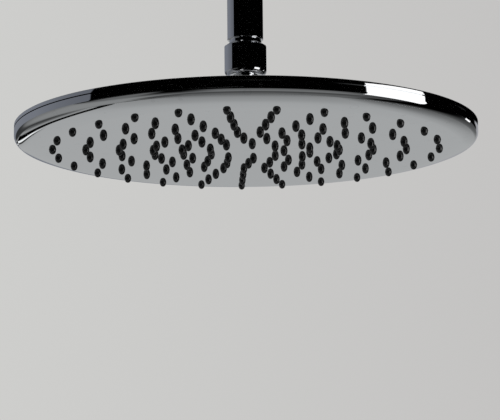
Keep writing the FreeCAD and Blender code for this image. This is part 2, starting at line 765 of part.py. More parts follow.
# Nozzle groups: name, rings, angle of the first radial line, number of lines and nozzle length
NOZZLE_GROUPS = [
    ("edge", ["first"], "line_angle", "nozzle_lines", "edge_nozzle_length"),
    ("line", ["second", "third", "fourth"], "line_angle", "nozzle_lines", "nozzle_length"),
    ("middle", ["middle"], "middle_angle", "middle_nozzles", "nozzle_length"),
    ("inner", ["inner"], "inner_angle", "inner_nozzles", "nozzle_length"),
]


def nozzle_circles(rings, angle_word, radius):
    """Give one circle for each ring of a nozzle group, on the group's first radial line."""
    circles = []
    for ring in rings:
        across, up = on_ring(RING_RADII[ring], angle_word)
        circles.append((across, up, radius))
    return circles


for group, rings, angle_word, count_word, _ in NOZZLE_GROUPS:
    hole = drilled(face_plate, f"{group}_nozzle_hole", wall, mat_top,
                   nozzle_circles(rings, angle_word, nozzle_hole_radius))
    repeated(face_plate, f"{group}_nozzle_holes", [hole], size(count_word))

# Nozzle mat: rubber sheet behind the face with a tapered, bored nozzle through every hole
nozzle_length = size("nozzle_length")
mat_underside = f"({nozzle_length} + {wall})"
mat_height = f"({mat_underside} + {size('mat_thickness')})"
nozzle_mat = new_body("nozzle_mat", f"(0 - {nozzle_length})")
turned(nozzle_mat, [
    ("0", mat_underside),
    (flat_radius, mat_underside),
    (mat_radius, f"{mat_underside} + {size('mat_edge_chamfer')}"),
    (mat_radius, mat_height),
    ("0", mat_height),
])
across, up = on_ring(inner_screw_circle, "inner_screw_angle")
post_gap = drilled(nozzle_mat, "mat_post_gap", mat_height, size("mat_thickness"), [
    (across, up, f"{post_radius} + {loose_gap}"),
])
repeated(nozzle_mat, "mat_post_gaps", [post_gap], size("inner_screws"))
shoulder_radius = half("nozzle_shoulder_diameter")
tip_radius = half("nozzle_tip_diameter")
for group, rings, angle_word, count_word, length_word in NOZZLE_GROUPS:
    body_length = f"({size(length_word)} * {size('nozzle_shoulder_share')})"
    tip_length = f"({size(length_word)} - {body_length})"
    root = raised(nozzle_mat, f"{group}_root", nozzle_length, f"{wall} + {size('mat_thickness')} / 2",
                  nozzle_circles(rings, angle_word, nozzle_radius))
    body = raised(nozzle_mat, f"{group}_body", nozzle_length, body_length,
                  nozzle_circles(rings, angle_word, nozzle_radius), downwards=True)
    body.setExpression("TaperAngle", f"-atan(({nozzle_radius} - {shoulder_radius}) / {body_length})")
    tip = raised(nozzle_mat, f"{group}_tip", f"{nozzle_length} - {body_length}", tip_length,
                 nozzle_circles(rings, angle_word, shoulder_radius), downwards=True)
    tip.setExpression("TaperAngle", f"-atan(({shoulder_radius} - {tip_radius}) / {tip_length})")
    bore = drilled(nozzle_mat, f"{group}_bore", mat_height, None,
                   nozzle_circles(rings, angle_word, half("nozzle_bore")))
    repeated(nozzle_mat, f"{group}_nozzles", [root, body, tip, bore], size(count_word))

# Back plate: closes the spray chamber, presses the mat's edge and carries the inlet neck
plate_rim_inner = f"({mat_radius} - {size('plate_rim_width')})"
plate_boss_radius = f"({neck_clear_radius} + {size('plate_boss_wall')})"
plate_disc = size("chamber_height")
plate_height = f"({plate_disc} + {size('plate_thickness')})"
plate_boss_top = f"({dome_under} - {mat_top})"
back_plate = new_body("back_plate", mat_top)
turned(back_plate, [
    (neck_clear_radius, plate_disc),
    (plate_rim_inner, plate_disc),
    (plate_rim_inner, "0"),
    (mat_radius, "0"),
    (mat_radius, plate_disc),
    (plate_radius, plate_disc),
    (plate_radius, plate_height),
    (plate_boss_radius, plate_height),
    (plate_boss_radius, plate_boss_top),
    (neck_clear_radius, plate_boss_top),
])
rib_half = half("plate_rib_thickness")
rib_end = f"({plate_rim_inner} * {size('plate_rib_end_share')})"
rib_start = f"({neck_clear_radius} + {size('plate_boss_wall')} / 2)"
rib_sketch = new_sketch(back_plate, "plate_rib_area", "XY_Plane", f"{plate_height} - {fit_gap}")
add_outline(rib_sketch, [
    (rib_start, f"-{rib_half}"),
    (rib_end, f"-{rib_half}"),
    (rib_end, rib_half),
    (rib_start, rib_half),
])
rib = back_plate.newObject("PartDesign::Pad", "plate_rib")
rib.Profile = rib_sketch
rib.setExpression("Length", f"{size('plate_rib_height')} + {fit_gap}")
rib_sketch.Visibility = False
repeated(back_plate, "plate_rib_ring", [rib], size("plate_ribs"))
for ring, circle in (("outer", outer_screw_circle), ("inner", inner_screw_circle)):
    across, up = on_ring(circle, f"{ring}_screw_angle")
    hole = drilled(back_plate, f"{ring}_plate_hole", plate_height, size("plate_thickness"), [
        (across, up, f"{screw_radius} + {loose_gap} / 2"),
    ])
    repeated(back_plate, f"{ring}_plate_holes", [hole], size(f"{ring}_screws"))

# Clamp screws: one group of separate solids, each with a hexagon socket
screw_length = f"({size('screw_bite')} + {size('plate_thickness')})"
socket_radius = f"({half('screw_socket_flats')} / cos(30 deg))"
clamp_screws = new_body("clamp_screws", f"({chamber_top} - {size('screw_bite')})")
clamp_screws.AllowCompound = True
for ring, circle in (("outer", outer_screw_circle), ("inner", inner_screw_circle)):
    across, up = on_ring(circle, f"{ring}_screw_angle")
    head = raised(clamp_screws, f"{ring}_screw_head", screw_length, size("screw_head_height"), [
        (across, up, half("screw_head_diameter")),
    ])
    shank = raised(clamp_screws, f"{ring}_screw_shank", screw_length, screw_length, [
        (across, up, screw_radius),
    ], downwards=True)
    socket_top = f"({screw_length} + {size('screw_head_height')})"
    socket_sketch = new_sketch(clamp_screws, f"{ring}_socket_area", "XY_Plane", socket_top)
    socket_corners = []
    for turn in range(6):
        socket_corners.append((f"{across} + {socket_radius} * cos({turn * 60} deg)",
                               f"{up} + {socket_radius} * sin({turn * 60} deg)"))
    add_outline(socket_sketch, socket_corners)
    socket = clamp_screws.newObject("PartDesign::Pocket", f"{ring}_screw_socket")
    socket.Profile = socket_sketch
    socket.setExpression("Length", size("screw_socket_depth"))
    socket_sketch.Visibility = False
    repeated(clamp_screws, f"{ring}_screws_ring", [head, shank, socket], size(f"{ring}_screws"))

document.recompute()

# Check every object, then write one file for each sub-part
for item in document.Objects:
    if "Invalid" in item.State or "Error" in item.State:
        raise RuntimeError(f"{item.Label} did not build: {item.State}")

os.makedirs("parts", exist_ok=True)
for body in document.Objects:
    if body.TypeId != "PartDesign::Body":
        continue
    if body.Shape.isNull() or not body.Shape.isValid():
        raise RuntimeError(f"{body.Label} has no valid shape")
    body.Shape.exportStep(f"parts/{body.Label}.step")
    print(body.Label, len(body.Shape.Solids), round(body.Shape.Volume / 1000, 3))
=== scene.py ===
import logging
import math
from collections.abc import Callable, Sequence
from dataclasses import dataclass
from enum import Enum
from typing import Any, ClassVar

import bmesh
import bpy
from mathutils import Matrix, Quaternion, Vector


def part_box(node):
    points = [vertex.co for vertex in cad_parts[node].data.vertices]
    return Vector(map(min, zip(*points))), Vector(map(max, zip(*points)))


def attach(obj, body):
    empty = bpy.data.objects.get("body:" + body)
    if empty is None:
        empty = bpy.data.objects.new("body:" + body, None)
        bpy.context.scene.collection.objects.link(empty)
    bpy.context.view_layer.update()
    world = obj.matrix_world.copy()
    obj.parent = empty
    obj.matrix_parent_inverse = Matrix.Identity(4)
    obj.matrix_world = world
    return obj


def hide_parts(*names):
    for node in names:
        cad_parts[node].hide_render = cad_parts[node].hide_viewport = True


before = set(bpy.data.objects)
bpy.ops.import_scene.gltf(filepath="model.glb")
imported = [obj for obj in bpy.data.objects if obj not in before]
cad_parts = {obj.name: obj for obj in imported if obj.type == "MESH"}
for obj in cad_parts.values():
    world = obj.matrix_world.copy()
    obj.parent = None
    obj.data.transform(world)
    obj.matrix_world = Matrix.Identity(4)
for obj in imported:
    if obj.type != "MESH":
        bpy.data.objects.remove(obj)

# Looks of an overhead rain shower: finishes, thread turns, mirror face, nozzles and studio, in metres

LOG = logging.getLogger("overhead_shower")
MM = 0.001

# Distances in metres: points that merge, points that match, and points beside a radius
MERGE = 1e-7
MATCH = 0.001 * MM
BESIDE = 0.01 * MM

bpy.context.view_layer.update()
NODES: dict[str, bpy.types.Object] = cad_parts

# Height of the spray face and radius of the rim, then heights of the seam's edges above the face
FACE_LOW, FACE_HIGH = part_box("face_plate")
FACE = FACE_LOW.z
RIM = min(FACE_HIGH.x, FACE_HIGH.y, -FACE_LOW.x, -FACE_LOW.y)
SEAM_LOW = 11.25 * MM
SEAM_HIGH = 11.95 * MM

Colour = tuple[float, float, float]
Point = tuple[float, float]
Span = tuple[float, float]
Feed = bpy.types.NodeSocket | float


class Step(Enum):
    """Arithmetic that a Math node can do."""

    ADD = "ADD"
    SUBTRACT = "SUBTRACT"
    MULTIPLY = "MULTIPLY"
    MINIMUM = "MINIMUM"
    MAXIMUM = "MAXIMUM"
    ABSOLUTE = "ABSOLUTE"
    ABOVE = "GREATER_THAN"
    ANGLE = "ARCTAN2"


class Change(Enum):
    """What a tool does to a piece it works on."""

    JOIN = "UNION"
    CUT = "DIFFERENCE"


class Body(Enum):
    """Moving bodies that modelled pieces ride on."""

    ARM = "arm"
    HEAD = "head"


def grey(level: float) -> Colour:
    """Give a neutral colour of one level."""
    return (level, level, level)


BLACK = grey(0.0)


def radians(span: Span) -> Span:
    """Turn a span of degrees to radians."""
    return (math.radians(span[0]), math.radians(span[1]))


class Graph:
    """A node tree that is being wired."""

    def __init__(self, tree: bpy.types.NodeTree) -> None:
        """Start on a tree.

        Args:
            tree: The material's, world's or group's node tree.
        """
        self.tree = tree

    def add(self, kind: str, **settings: Any) -> bpy.types.Node:
        """Add a node and set its properties.

        Args:
            kind: The node's type name.
            settings: Properties to set on it.

        Returns:
            The new node.
        """
        made = self.tree.nodes.new(kind)
        for word, value in settings.items():
            setattr(made, word, value)
        return made

    def feed(self, source: Feed, target: bpy.types.NodeSocket) -> None:
        """Link a socket to another, or set a plain number on it.

        Args:
            source: A socket or a number.
            target: The input to feed.
        """
        if isinstance(source, bpy.types.NodeSocket):
            self.tree.links.new(source, target)
        else:
            target.default_value = source

    def sum(self, step: Step, first: Feed, second: Feed = 0.0) -> bpy.types.NodeSocket:
        """Add one Math node.

        Args:
            step: What it works out.
            first: First input.
            second: Second input.

        Returns:
            The result's socket.
        """
        node = self.add("ShaderNodeMath", operation=step.value)
        self.feed(first, node.inputs[0])
        self.feed(second, node.inputs[1])
        return node.outputs[0]

    def spread(self, value: Feed, low: float, high: float, to_low: float = 0.0,
               to_high: float = 1.0, smooth: bool = True) -> bpy.types.NodeSocket:
        """Map a value from one span to another, held at its ends.

        Args:
            value: The value to map.
            low: Start of its span.
            high: End of its span.
            to_low: Result at the start.
            to_high: Result at the end.
            smooth: Ease in and out instead of a straight line.

        Returns:
            The result's socket.
        """
        node = self.add("ShaderNodeMapRange", clamp=True)
        node.interpolation_type = "SMOOTHSTEP" if smooth else "LINEAR"
        self.feed(value, node.inputs["Value"])
        node.inputs["From Min"].default_value = low
        node.inputs["From Max"].default_value = high
        node.inputs["To Min"].default_value = to_low
        node.inputs["To Max"].default_value = to_high
        return node.outputs["Result"]

    def greys(self, value: Feed, span: Span, tones: Sequence[Point]) -> bpy.types.NodeSocket:
        """Lay greys along a span of a value.

        Args:
            value: The value that runs along the span.
            span: Start and end of the span.
            tones: Share of the span and level of each grey, in order.

        Returns:
            The grey's socket.
        """
        node = self.add("ShaderNodeValToRGB")
        band = node.color_ramp.elements
        while len(band) < len(tones):
            band.new(1.0)
        for element, (share, level) in zip(band, tones):
            element.position = share
            element.color = (*grey(level), 1.0)
        self.feed(self.spread(value, *span, smooth=False), node.inputs["Fac"])
        return node.outputs["Color"]

    def mix(self, factor: Feed, first: Feed | Colour, second: Feed | Colour) -> bpy.types.NodeSocket:
        """Mix two colours.

        Args:
            factor: Share of the second colour.
            first: Colour or socket at 0.
            second: Colour or socket at 1.

        Returns:
            The mixed colour's socket.
        """
        node = self.add("ShaderNodeMix", data_type="RGBA")
        colour_inputs = [entry for entry in node.inputs if entry.type == "RGBA"]
        self.feed(factor, node.inputs[0])
        for source, target in zip((first, second), colour_inputs):
            if isinstance(source, bpy.types.NodeSocket):
                self.feed(source, target)
            else:
                target.default_value = (*source, 1.0)
        return next(entry for entry in node.outputs if entry.type == "RGBA")


class Effect:
    """A surface effect that several finishes share, kept as one node group."""

    name: ClassVar[str] = ""
    numbers: ClassVar[tuple[str, ...]] = ()
    results: ClassVar[tuple[str, ...]] = ()

    @classmethod
    def tree(cls) -> bpy.types.NodeTree:
        """Give the effect's node group, built on first use.

        Returns:
            The node group.
        """
        found = bpy.data.node_groups.get(cls.name)
        if found is not None:
            return found
        made = bpy.data.node_groups.new(cls.name, "ShaderNodeTree")
        made.interface.new_socket("Place", in_out="INPUT", socket_type="NodeSocketVector")
        for word in cls.numbers:
            made.interface.new_socket(word, in_out="INPUT", socket_type="NodeSocketFloat")
        for word in cls.results:
            made.interface.new_socket(word, in_out="OUTPUT", socket_type="NodeSocketFloat")
        graph = Graph(made)
        cls.wire(graph, graph.add("NodeGroupInput"), graph.add("NodeGroupOutput"))
        return made

    @classmethod
    def wire(cls, graph: Graph, inside: bpy.types.Node, outside: bpy.types.Node) -> None:
        """Wire the group; each effect has its own way.

        Args:
            graph: The group's tree.
            inside: Its input node.
            outside: Its output node.
        """
        raise NotImplementedError

    @classmethod
    def use(cls, graph: Graph, place: bpy.types.NodeSocket, **numbers: float) -> bpy.types.Node:
        """Place the effect in a material.

        Args:
            graph: The material's tree.
            place: Coordinates of the surface.
            numbers: Values of the group's number inputs.

        Returns:
            The group node.
        """
        node = graph.add("ShaderNodeGroup", node_tree=cls.tree())
        graph.feed(place, node.inputs["Place"])
        for word, value in numbers.items():
            node.inputs[word].default_value = value
        return node


class DriedDrops(Effect):
    """Round marks that drops leave when they dry, some cells marked and others clean."""

    name = "dried_drops"
    numbers = ("Scale", "Share")
    results = ("Mask",)
    smallest: ClassVar[float] = 0.12
    largest: ClassVar[float] = 0.34
    ring_width: ClassVar[float] = 0.07

    @classmethod
    def wire(cls, graph: Graph, inside: bpy.types.Node, outside: bpy.types.Node) -> None:
        """Wire a ring at the edge of each marked cell's drop.

        Args:
            graph: The group's tree.
            inside: Its input node.
            outside: Its output node.
        """
        cells = graph.add("ShaderNodeTexVoronoi", feature="F1")
        graph.feed(inside.outputs["Place"], cells.inputs["Vector"])
        graph.feed(inside.outputs["Scale"], cells.inputs["Scale"])
        chance = graph.add("ShaderNodeSeparateColor")
        graph.feed(cells.outputs["Color"], chance.inputs["Color"])
        marked = graph.sum(Step.ABOVE, inside.outputs["Share"], chance.outputs["Red"])
        reach = graph.spread(chance.outputs["Green"], 0.0, 1.0, cls.smallest, cls.largest, smooth=False)
        from_edge = graph.sum(Step.ABSOLUTE, graph.sum(Step.SUBTRACT, cells.outputs["Distance"], reach))
        ring = graph.spread(from_edge, 0.0, cls.ring_width, 1.0, 0.0)
        graph.feed(graph.sum(Step.MULTIPLY, ring, marked), outside.inputs["Mask"])


class Hairlines(Effect):
    """Fine lines left by polishing or turning, drawn out along one way."""

    name = "hairlines"
    numbers = ("Across", "Along")
    results = ("Height",)
    detail: ClassVar[float] = 5.0

    @classmethod
    def wire(cls, graph: Graph, inside: bpy.types.Node, outside: bpy.types.Node) -> None:
        """Wire a noise that is close-set across the lines and long along them.

        Args:
            graph: The group's tree.
            inside: Its input node.
            outside: Its output node.
        """
        parts = graph.add("ShaderNodeSeparateXYZ")
        graph.feed(inside.outputs["Place"], parts.inputs["Vector"])
        stretched = graph.add("ShaderNodeCombineXYZ")
        for word, pull in (("X", "Along"), ("Y", "Along"), ("Z", "Across")):
            scaled = graph.sum(Step.MULTIPLY, parts.outputs[word], inside.outputs[pull])
            graph.feed(scaled, stretched.inputs[word])
        lines = graph.add("ShaderNodeTexNoise")
        lines.inputs["Scale"].default_value = 1.0
        lines.inputs["Detail"].default_value = cls.detail
        graph.feed(stretched.outputs["Vector"], lines.inputs["Vector"])
        graph.feed(lines.outputs["Fac"], outside.inputs["Height"])


class MouldedGrain(Effect):
    """Fine grain of a moulded surface, with slow clouds in its shade."""

    name = "moulded_grain"
    numbers = ("Fine", "Slow")
    results = ("Height", "Shade")
    fine_detail: ClassVar[float] = 3.0
    slow_detail: ClassVar[float] = 5.0

    @classmethod
    def wire(cls, graph: Graph, inside: bpy.types.Node, outside: bpy.types.Node) -> None:
        """Wire one fine and one slow noise.

        Args:
            graph: The group's tree.
            inside: Its input node.
            outside: Its output node.
        """
        layers = (("Fine", "Height", cls.fine_detail), ("Slow", "Shade", cls.slow_detail))
        for word, result, detail in layers:
            noise = graph.add("ShaderNodeTexNoise")
            noise.inputs["Detail"].default_value = detail
            graph.feed(inside.outputs["Place"], noise.inputs["Vector"])
            graph.feed(inside.outputs[word], noise.inputs["Scale"])
            graph.feed(noise.outputs["Fac"], outside.inputs[result])


def new_material(name: str) -> tuple[bpy.types.Material, Graph, bpy.types.Node, bpy.types.NodeSocket]:
    """Start a material with one shader and Object coordinates.

    Args:
        name: The material's name.

    Returns:
        The material, its graph, its shader and the coordinates' socket.
    """
    material = bpy.data.materials.new(name)
    material.use_nodes = True
    graph = Graph(material.node_tree)
    shader = next(node for node in material.node_tree.nodes if node.type == "BSDF_PRINCIPLED")
    place = graph.add("ShaderNodeTexCoord").outputs["Object"]
    return material, graph, shader, place


def add_bump(graph: Graph, shader: bpy.types.Node, height: bpy.types.NodeSocket, strength: float,
             depth: float) -> None:
    """Raise a shader's surface by a height.

    Args:
        graph: The material's graph.
        shader: The shader to bump.
        height: Height from 0 to 1.
        strength: How much of the bump shows.
        depth: Real depth of a full step, in metres.
    """
    bump = graph.add("ShaderNodeBump")
    bump.inputs["Strength"].default_value = strength
    bump.inputs["Distance"].default_value = depth
    graph.feed(height, bump.inputs["Height"])
    graph.feed(bump.outputs["Normal"], shader.inputs["Normal"])


@dataclass(frozen=True)
class Seam:
    """Narrow gap round the rim, by its heights and the rim's radius; its left half gets painted shade, with
    some grime.
    """

    low: float
    high: float
    rim: float
    shaded_half_end: float = 0.04
    mouth_fade: Span = (0.02 * MM, 0.06 * MM)
    wall_fade: Span = (0.12 * MM, 0.06 * MM)

    def mask(self, graph: Graph, place: bpy.types.NodeSocket) -> bpy.types.NodeSocket:
        """Wire a mask of the gap's ground and walls, where shade is painted on the left half.

        Args:
            graph: The material's graph.
            place: Coordinates of the surface.

        Returns:
            The mask's socket, 1 inside the gap.
        """
        parts = graph.add("ShaderNodeSeparateXYZ")
        graph.feed(place, parts.inputs["Vector"])
        level = graph.add("ShaderNodeCombineXYZ")
        graph.feed(parts.outputs["X"], level.inputs["X"])
        graph.feed(parts.outputs["Y"], level.inputs["Y"])
        radius = graph.add("ShaderNodeVectorMath", operation="LENGTH")
        graph.feed(level.outputs["Vector"], radius.inputs[0])
        middle = (self.low + self.high) / 2.0
        reach = (self.high - self.low) / 2.0
        off = graph.sum(Step.ABSOLUTE, graph.sum(Step.SUBTRACT, parts.outputs["Z"], middle))
        near = graph.spread(off, *(reach + fade for fade in self.mouth_fade), 1.0, 0.0)
        deep = graph.spread(radius.outputs["Value"], *(self.rim - fade for fade in self.wall_fade), 1.0, 0.0)
        # Painted shade: only the gap's left half, the side away from the lamp, is darkened.
        shaded_half = graph.spread(parts.outputs["X"], -self.shaded_half_end, self.shaded_half_end, 1.0, 0.0)
        return graph.sum(Step.MULTIPLY, shaded_half, graph.sum(Step.MULTIPLY, near, deep))


@dataclass(frozen=True)
class ChromeFinish:
    """Mirror chrome plate with faint drop marks and polishing lines, darkened and dulled in a seam by
    painted shade with some grime.
    """

    colour: Colour
    mark_polish: float
    drops_scale: float
    drops_share: float
    seam: Seam | None = None
    polish: float = 0.022
    mark_shade: float = 0.93
    lines_across: float = 900.0
    lines_along: float = 700.0
    line_span: Span = (0.35, 0.75)
    line_strength: float = 0.05
    line_depth: float = 2e-6
    shaded_seam_roughness: float = 0.7
    seam_shade_and_grime: Colour = grey(0.01)

    def material(self, name: str) -> bpy.types.Material:
        """Build the plate's material.

        Args:
            name: The material's name.

        Returns:
            The material.
        """
        material, graph, shader, place = new_material(name)
        drops = DriedDrops.use(graph, place, Scale=self.drops_scale, Share=self.drops_share)
        lines = Hairlines.use(graph, place, Across=self.lines_across, Along=self.lines_along)
        worn = graph.spread(lines.outputs["Height"], *self.line_span, 0.0, self.polish)
        marks = graph.spread(drops.outputs["Mask"], 0.0, 1.0, self.polish, self.mark_polish)
        rough = graph.sum(Step.ADD, worn, marks)
        dulled = tuple(self.mark_shade * level for level in self.colour)
        tint = graph.mix(drops.outputs["Mask"], self.colour, dulled)
        shader.inputs["Metallic"].default_value = 1.0
        # Painted shade: the seam's gap is painted near black and made rough, standing in for the shade
        # inside it, with some grime.
        if self.seam is not None:
            in_shaded_seam = self.seam.mask(graph, place)
            rough = graph.sum(Step.MAXIMUM, rough, graph.sum(Step.MULTIPLY, in_shaded_seam, self.shaded_seam_roughness))
            tint = graph.mix(in_shaded_seam, tint, self.seam_shade_and_grime)
        graph.feed(rough, shader.inputs["Roughness"])
        graph.feed(tint, shader.inputs["Base Color"])
        add_bump(graph, shader, lines.outputs["Height"], self.line_strength, self.line_depth)
        return material


@dataclass(frozen=True)
class TurnedMetalFinish:
    """Turned brass or steel, with rings from the tool and slow tarnish."""

    bright: Colour
    tarnished: Colour
    smooth: float
    rough: float
    rings: float
    line_depth: float
    rings_along: float = 60.0
    stain_scale: float = 140.0
    stain_span: Span = (0.42, 0.66)
    line_span: Span = (0.3, 0.7)
    line_strength: float = 0.4

    def material(self, name: str) -> bpy.types.Material:
        """Build the metal's material.

        Args:
            name: The material's name.

        Returns:
            The material.
        """
        material, graph, shader, place = new_material(name)
        lines = Hairlines.use(graph, place, Across=self.rings, Along=self.rings_along)
        grain = MouldedGrain.use(graph, place, Slow=self.stain_scale)
        stain = graph.spread(grain.outputs["Shade"], *self.stain_span)
        graph.feed(graph.mix(stain, self.bright, self.tarnished), shader.inputs["Base Color"])
        graph.feed(graph.spread(lines.outputs["Height"], *self.line_span, self.smooth, self.rough),
                   shader.inputs["Roughness"])
        shader.inputs["Metallic"].default_value = 1.0
        add_bump(graph, shader, lines.outputs["Height"], self.line_strength, self.line_depth)
        return material


@dataclass(frozen=True)
class MouldedFinish:
    """Moulded rubber, silicone or plastic with a fine grain."""

    colour: Colour
    cloud: Colour
    smooth: float
    rough: float
    grain: float
    grain_depth: float
    gloss: float
    cloud_scale: float = 90.0
    cloud_span: Span = (0.35, 0.7)
    grain_span: Span = (0.3, 0.7)
    grain_strength: float = 0.3

    def material(self, name: str) -> bpy.types.Material:
        """Build the moulded material.

        Args:
            name: The material's name.

        Returns:
            The material.
        """
        material, graph, shader, place = new_material(name)
        grain = MouldedGrain.use(graph, place, Fine=self.grain, Slow=self.cloud_scale)
        clouds = graph.spread(grain.outputs["Shade"], *self.cloud_span)
        graph.feed(graph.mix(clouds, self.colour, self.cloud), shader.inputs["Base Color"])
        graph.feed(graph.spread(grain.outputs["Height"], *self.grain_span, self.smooth, self.rough),
                   shader.inputs["Roughness"])
        shader.inputs["Specular IOR Level"].default_value = self.gloss
        add_bump(graph, shader, grain.outputs["Height"], self.grain_strength, self.grain_depth)
        return material


class Finish(Enum):
    """Every finish on the shower."""

    # The shells' seam carries painted shade.
    CHROME_SHELL = ChromeFinish(
        colour=(0.83, 0.84, 0.85), mark_polish=0.09, drops_scale=130.0, drops_share=0.25,
        seam=Seam(low=FACE + SEAM_LOW, high=FACE + SEAM_HIGH, rim=RIM))
    CHROME_FITTINGS = ChromeFinish(
        colour=(0.82, 0.83, 0.85), mark_polish=0.08, drops_scale=170.0, drops_share=0.2)
    BRASS = TurnedMetalFinish(
        bright=(0.76, 0.55, 0.25), tarnished=(0.52, 0.36, 0.16), smooth=0.2, rough=0.36,
        rings=9000.0, line_depth=2e-5)
    STEEL = TurnedMetalFinish(
        bright=(0.62, 0.62, 0.63), tarnished=(0.5, 0.5, 0.5), smooth=0.22, rough=0.38,
        rings=6000.0, line_depth=1e-5)
    SILICONE = MouldedFinish(
        colour=grey(0.004), cloud=grey(0.007), smooth=0.16, rough=0.26,
        grain=2600.0, grain_depth=3e-5, gloss=0.9)
    RUBBER = MouldedFinish(
        colour=grey(0.02), cloud=grey(0.032), smooth=0.5, rough=0.7,
        grain=2200.0, grain_depth=6e-5, gloss=0.4)
    WHITE_PLASTIC = MouldedFinish(
        colour=(0.82, 0.81, 0.77), cloud=(0.74, 0.73, 0.69), smooth=0.35, rough=0.5,
        grain=1800.0, grain_depth=3e-5, gloss=0.5)
    BLACK_PLASTIC = MouldedFinish(
        colour=grey(0.03), cloud=grey(0.042), smooth=0.4, rough=0.6,
        grain=1500.0, grain_depth=5e-5, gloss=0.5)

    def paint(self) -> bpy.types.Material:
        """Give the finish's material, built on first use.

        Returns:
            The material.
        """
        name = self.name.lower() + "_finish"
        return bpy.data.materials.get(name) or self.value.material(name)


def dress_nodes(finishes: dict[str, Finish]) -> None:
    """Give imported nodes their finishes.

    Args:
        finishes: Finish of each node by its name.
    """
    for name, finish in finishes.items():
        for slot in NODES[name].material_slots:
            slot.material = finish.paint()
        LOG.info("dressed %s in %s", name, finish.name)


def install(piece: bpy.types.Object, node: str, finish: Finish, slot: str, body: Body) -> None:
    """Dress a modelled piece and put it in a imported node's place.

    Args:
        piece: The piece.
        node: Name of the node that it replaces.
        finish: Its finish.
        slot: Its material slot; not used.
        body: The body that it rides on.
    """
    piece.data.materials.clear()
    piece.data.materials.append(finish.paint())
    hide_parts(node)
    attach(piece, body.value)
    LOG.info("built %s with %d faces", piece.name, len(piece.data.polygons))


def edit_vertices(choose: Callable[[Vector], bool], move: Callable[[Vector], Vector] | None = None) -> None:
    """Select vertices of the mesh in edit mode by place, and move them when asked.

    Args:
        choose: Says whether a place is selected.
        move: Gives the new place of a selected vertex.
    """
    mesh = bpy.context.edit_object.data
    shape = bmesh.from_edit_mesh(mesh)
    for vertex in shape.verts:
        vertex.select = choose(vertex.co)
        if vertex.select and move is not None:
            vertex.co = move(vertex.co)
    shape.select_flush_mode()
    bmesh.update_edit_mesh(mesh)


def move_selected(move: Callable[[Vector], Vector]) -> None:
    """Move the selected vertices of the mesh in edit mode.

    Args:
        move: Gives the new place of a vertex.
    """
    mesh = bpy.context.edit_object.data
    shape = bmesh.from_edit_mesh(mesh)
    for vertex in shape.verts:
        if vertex.select:
            vertex.co = move(vertex.co)
    bmesh.update_edit_mesh(mesh)


def at_radius(radius: float) -> Callable[[Vector], Vector]:
    """Give a move that puts a point at a radius about the arm's axis.

    Args:
        radius: The radius.

    Returns:
        The move.
    """

    def move(place: Vector) -> Vector:
        """Put one point at the radius, at its own height and angle."""
        share = radius / math.hypot(place.x, place.y)
        return Vector((place.x * share, place.y * share, place.z))

    return move


def start_point(place: Vector) -> None:
    """Begin a new mesh with one point, in edit mode.

    Args:
        place: Where the point is.
    """
    bpy.ops.object.select_all(action="DESELECT")
    bpy.ops.mesh.primitive_plane_add(size=1.0)
    bpy.ops.object.mode_set(mode="EDIT")
    edit_vertices(lambda corner: corner.x > 0.0 or corner.y > 0.0)
    bpy.ops.mesh.delete(type="VERT")
    edit_vertices(lambda corner: True, lambda corner: place)


def finish_mesh(name: str, merge: float = MERGE) -> bpy.types.Object:
    """Merge doubled points, turn the faces outwards, leave edit mode and name the piece.

    Args:
        name: The piece's name.
        merge: Distance at which points merge.

    Returns:
        The piece.
    """
    bpy.ops.mesh.select_all(action="SELECT")
    bpy.ops.mesh.remove_doubles(threshold=merge)
    bpy.ops.mesh.normals_make_consistent(inside=False)
    bpy.ops.object.mode_set(mode="OBJECT")
    piece = bpy.context.object
    piece.name = name
    piece.data.name = name
    return piece


def pick(piece: bpy.types.Object) -> None:
    """Select one piece alone and make it active.

    Args:
        piece: The piece.
    """
    bpy.ops.object.select_all(action="DESELECT")
    piece.select_set(True)
    bpy.context.view_layer.objects.active = piece


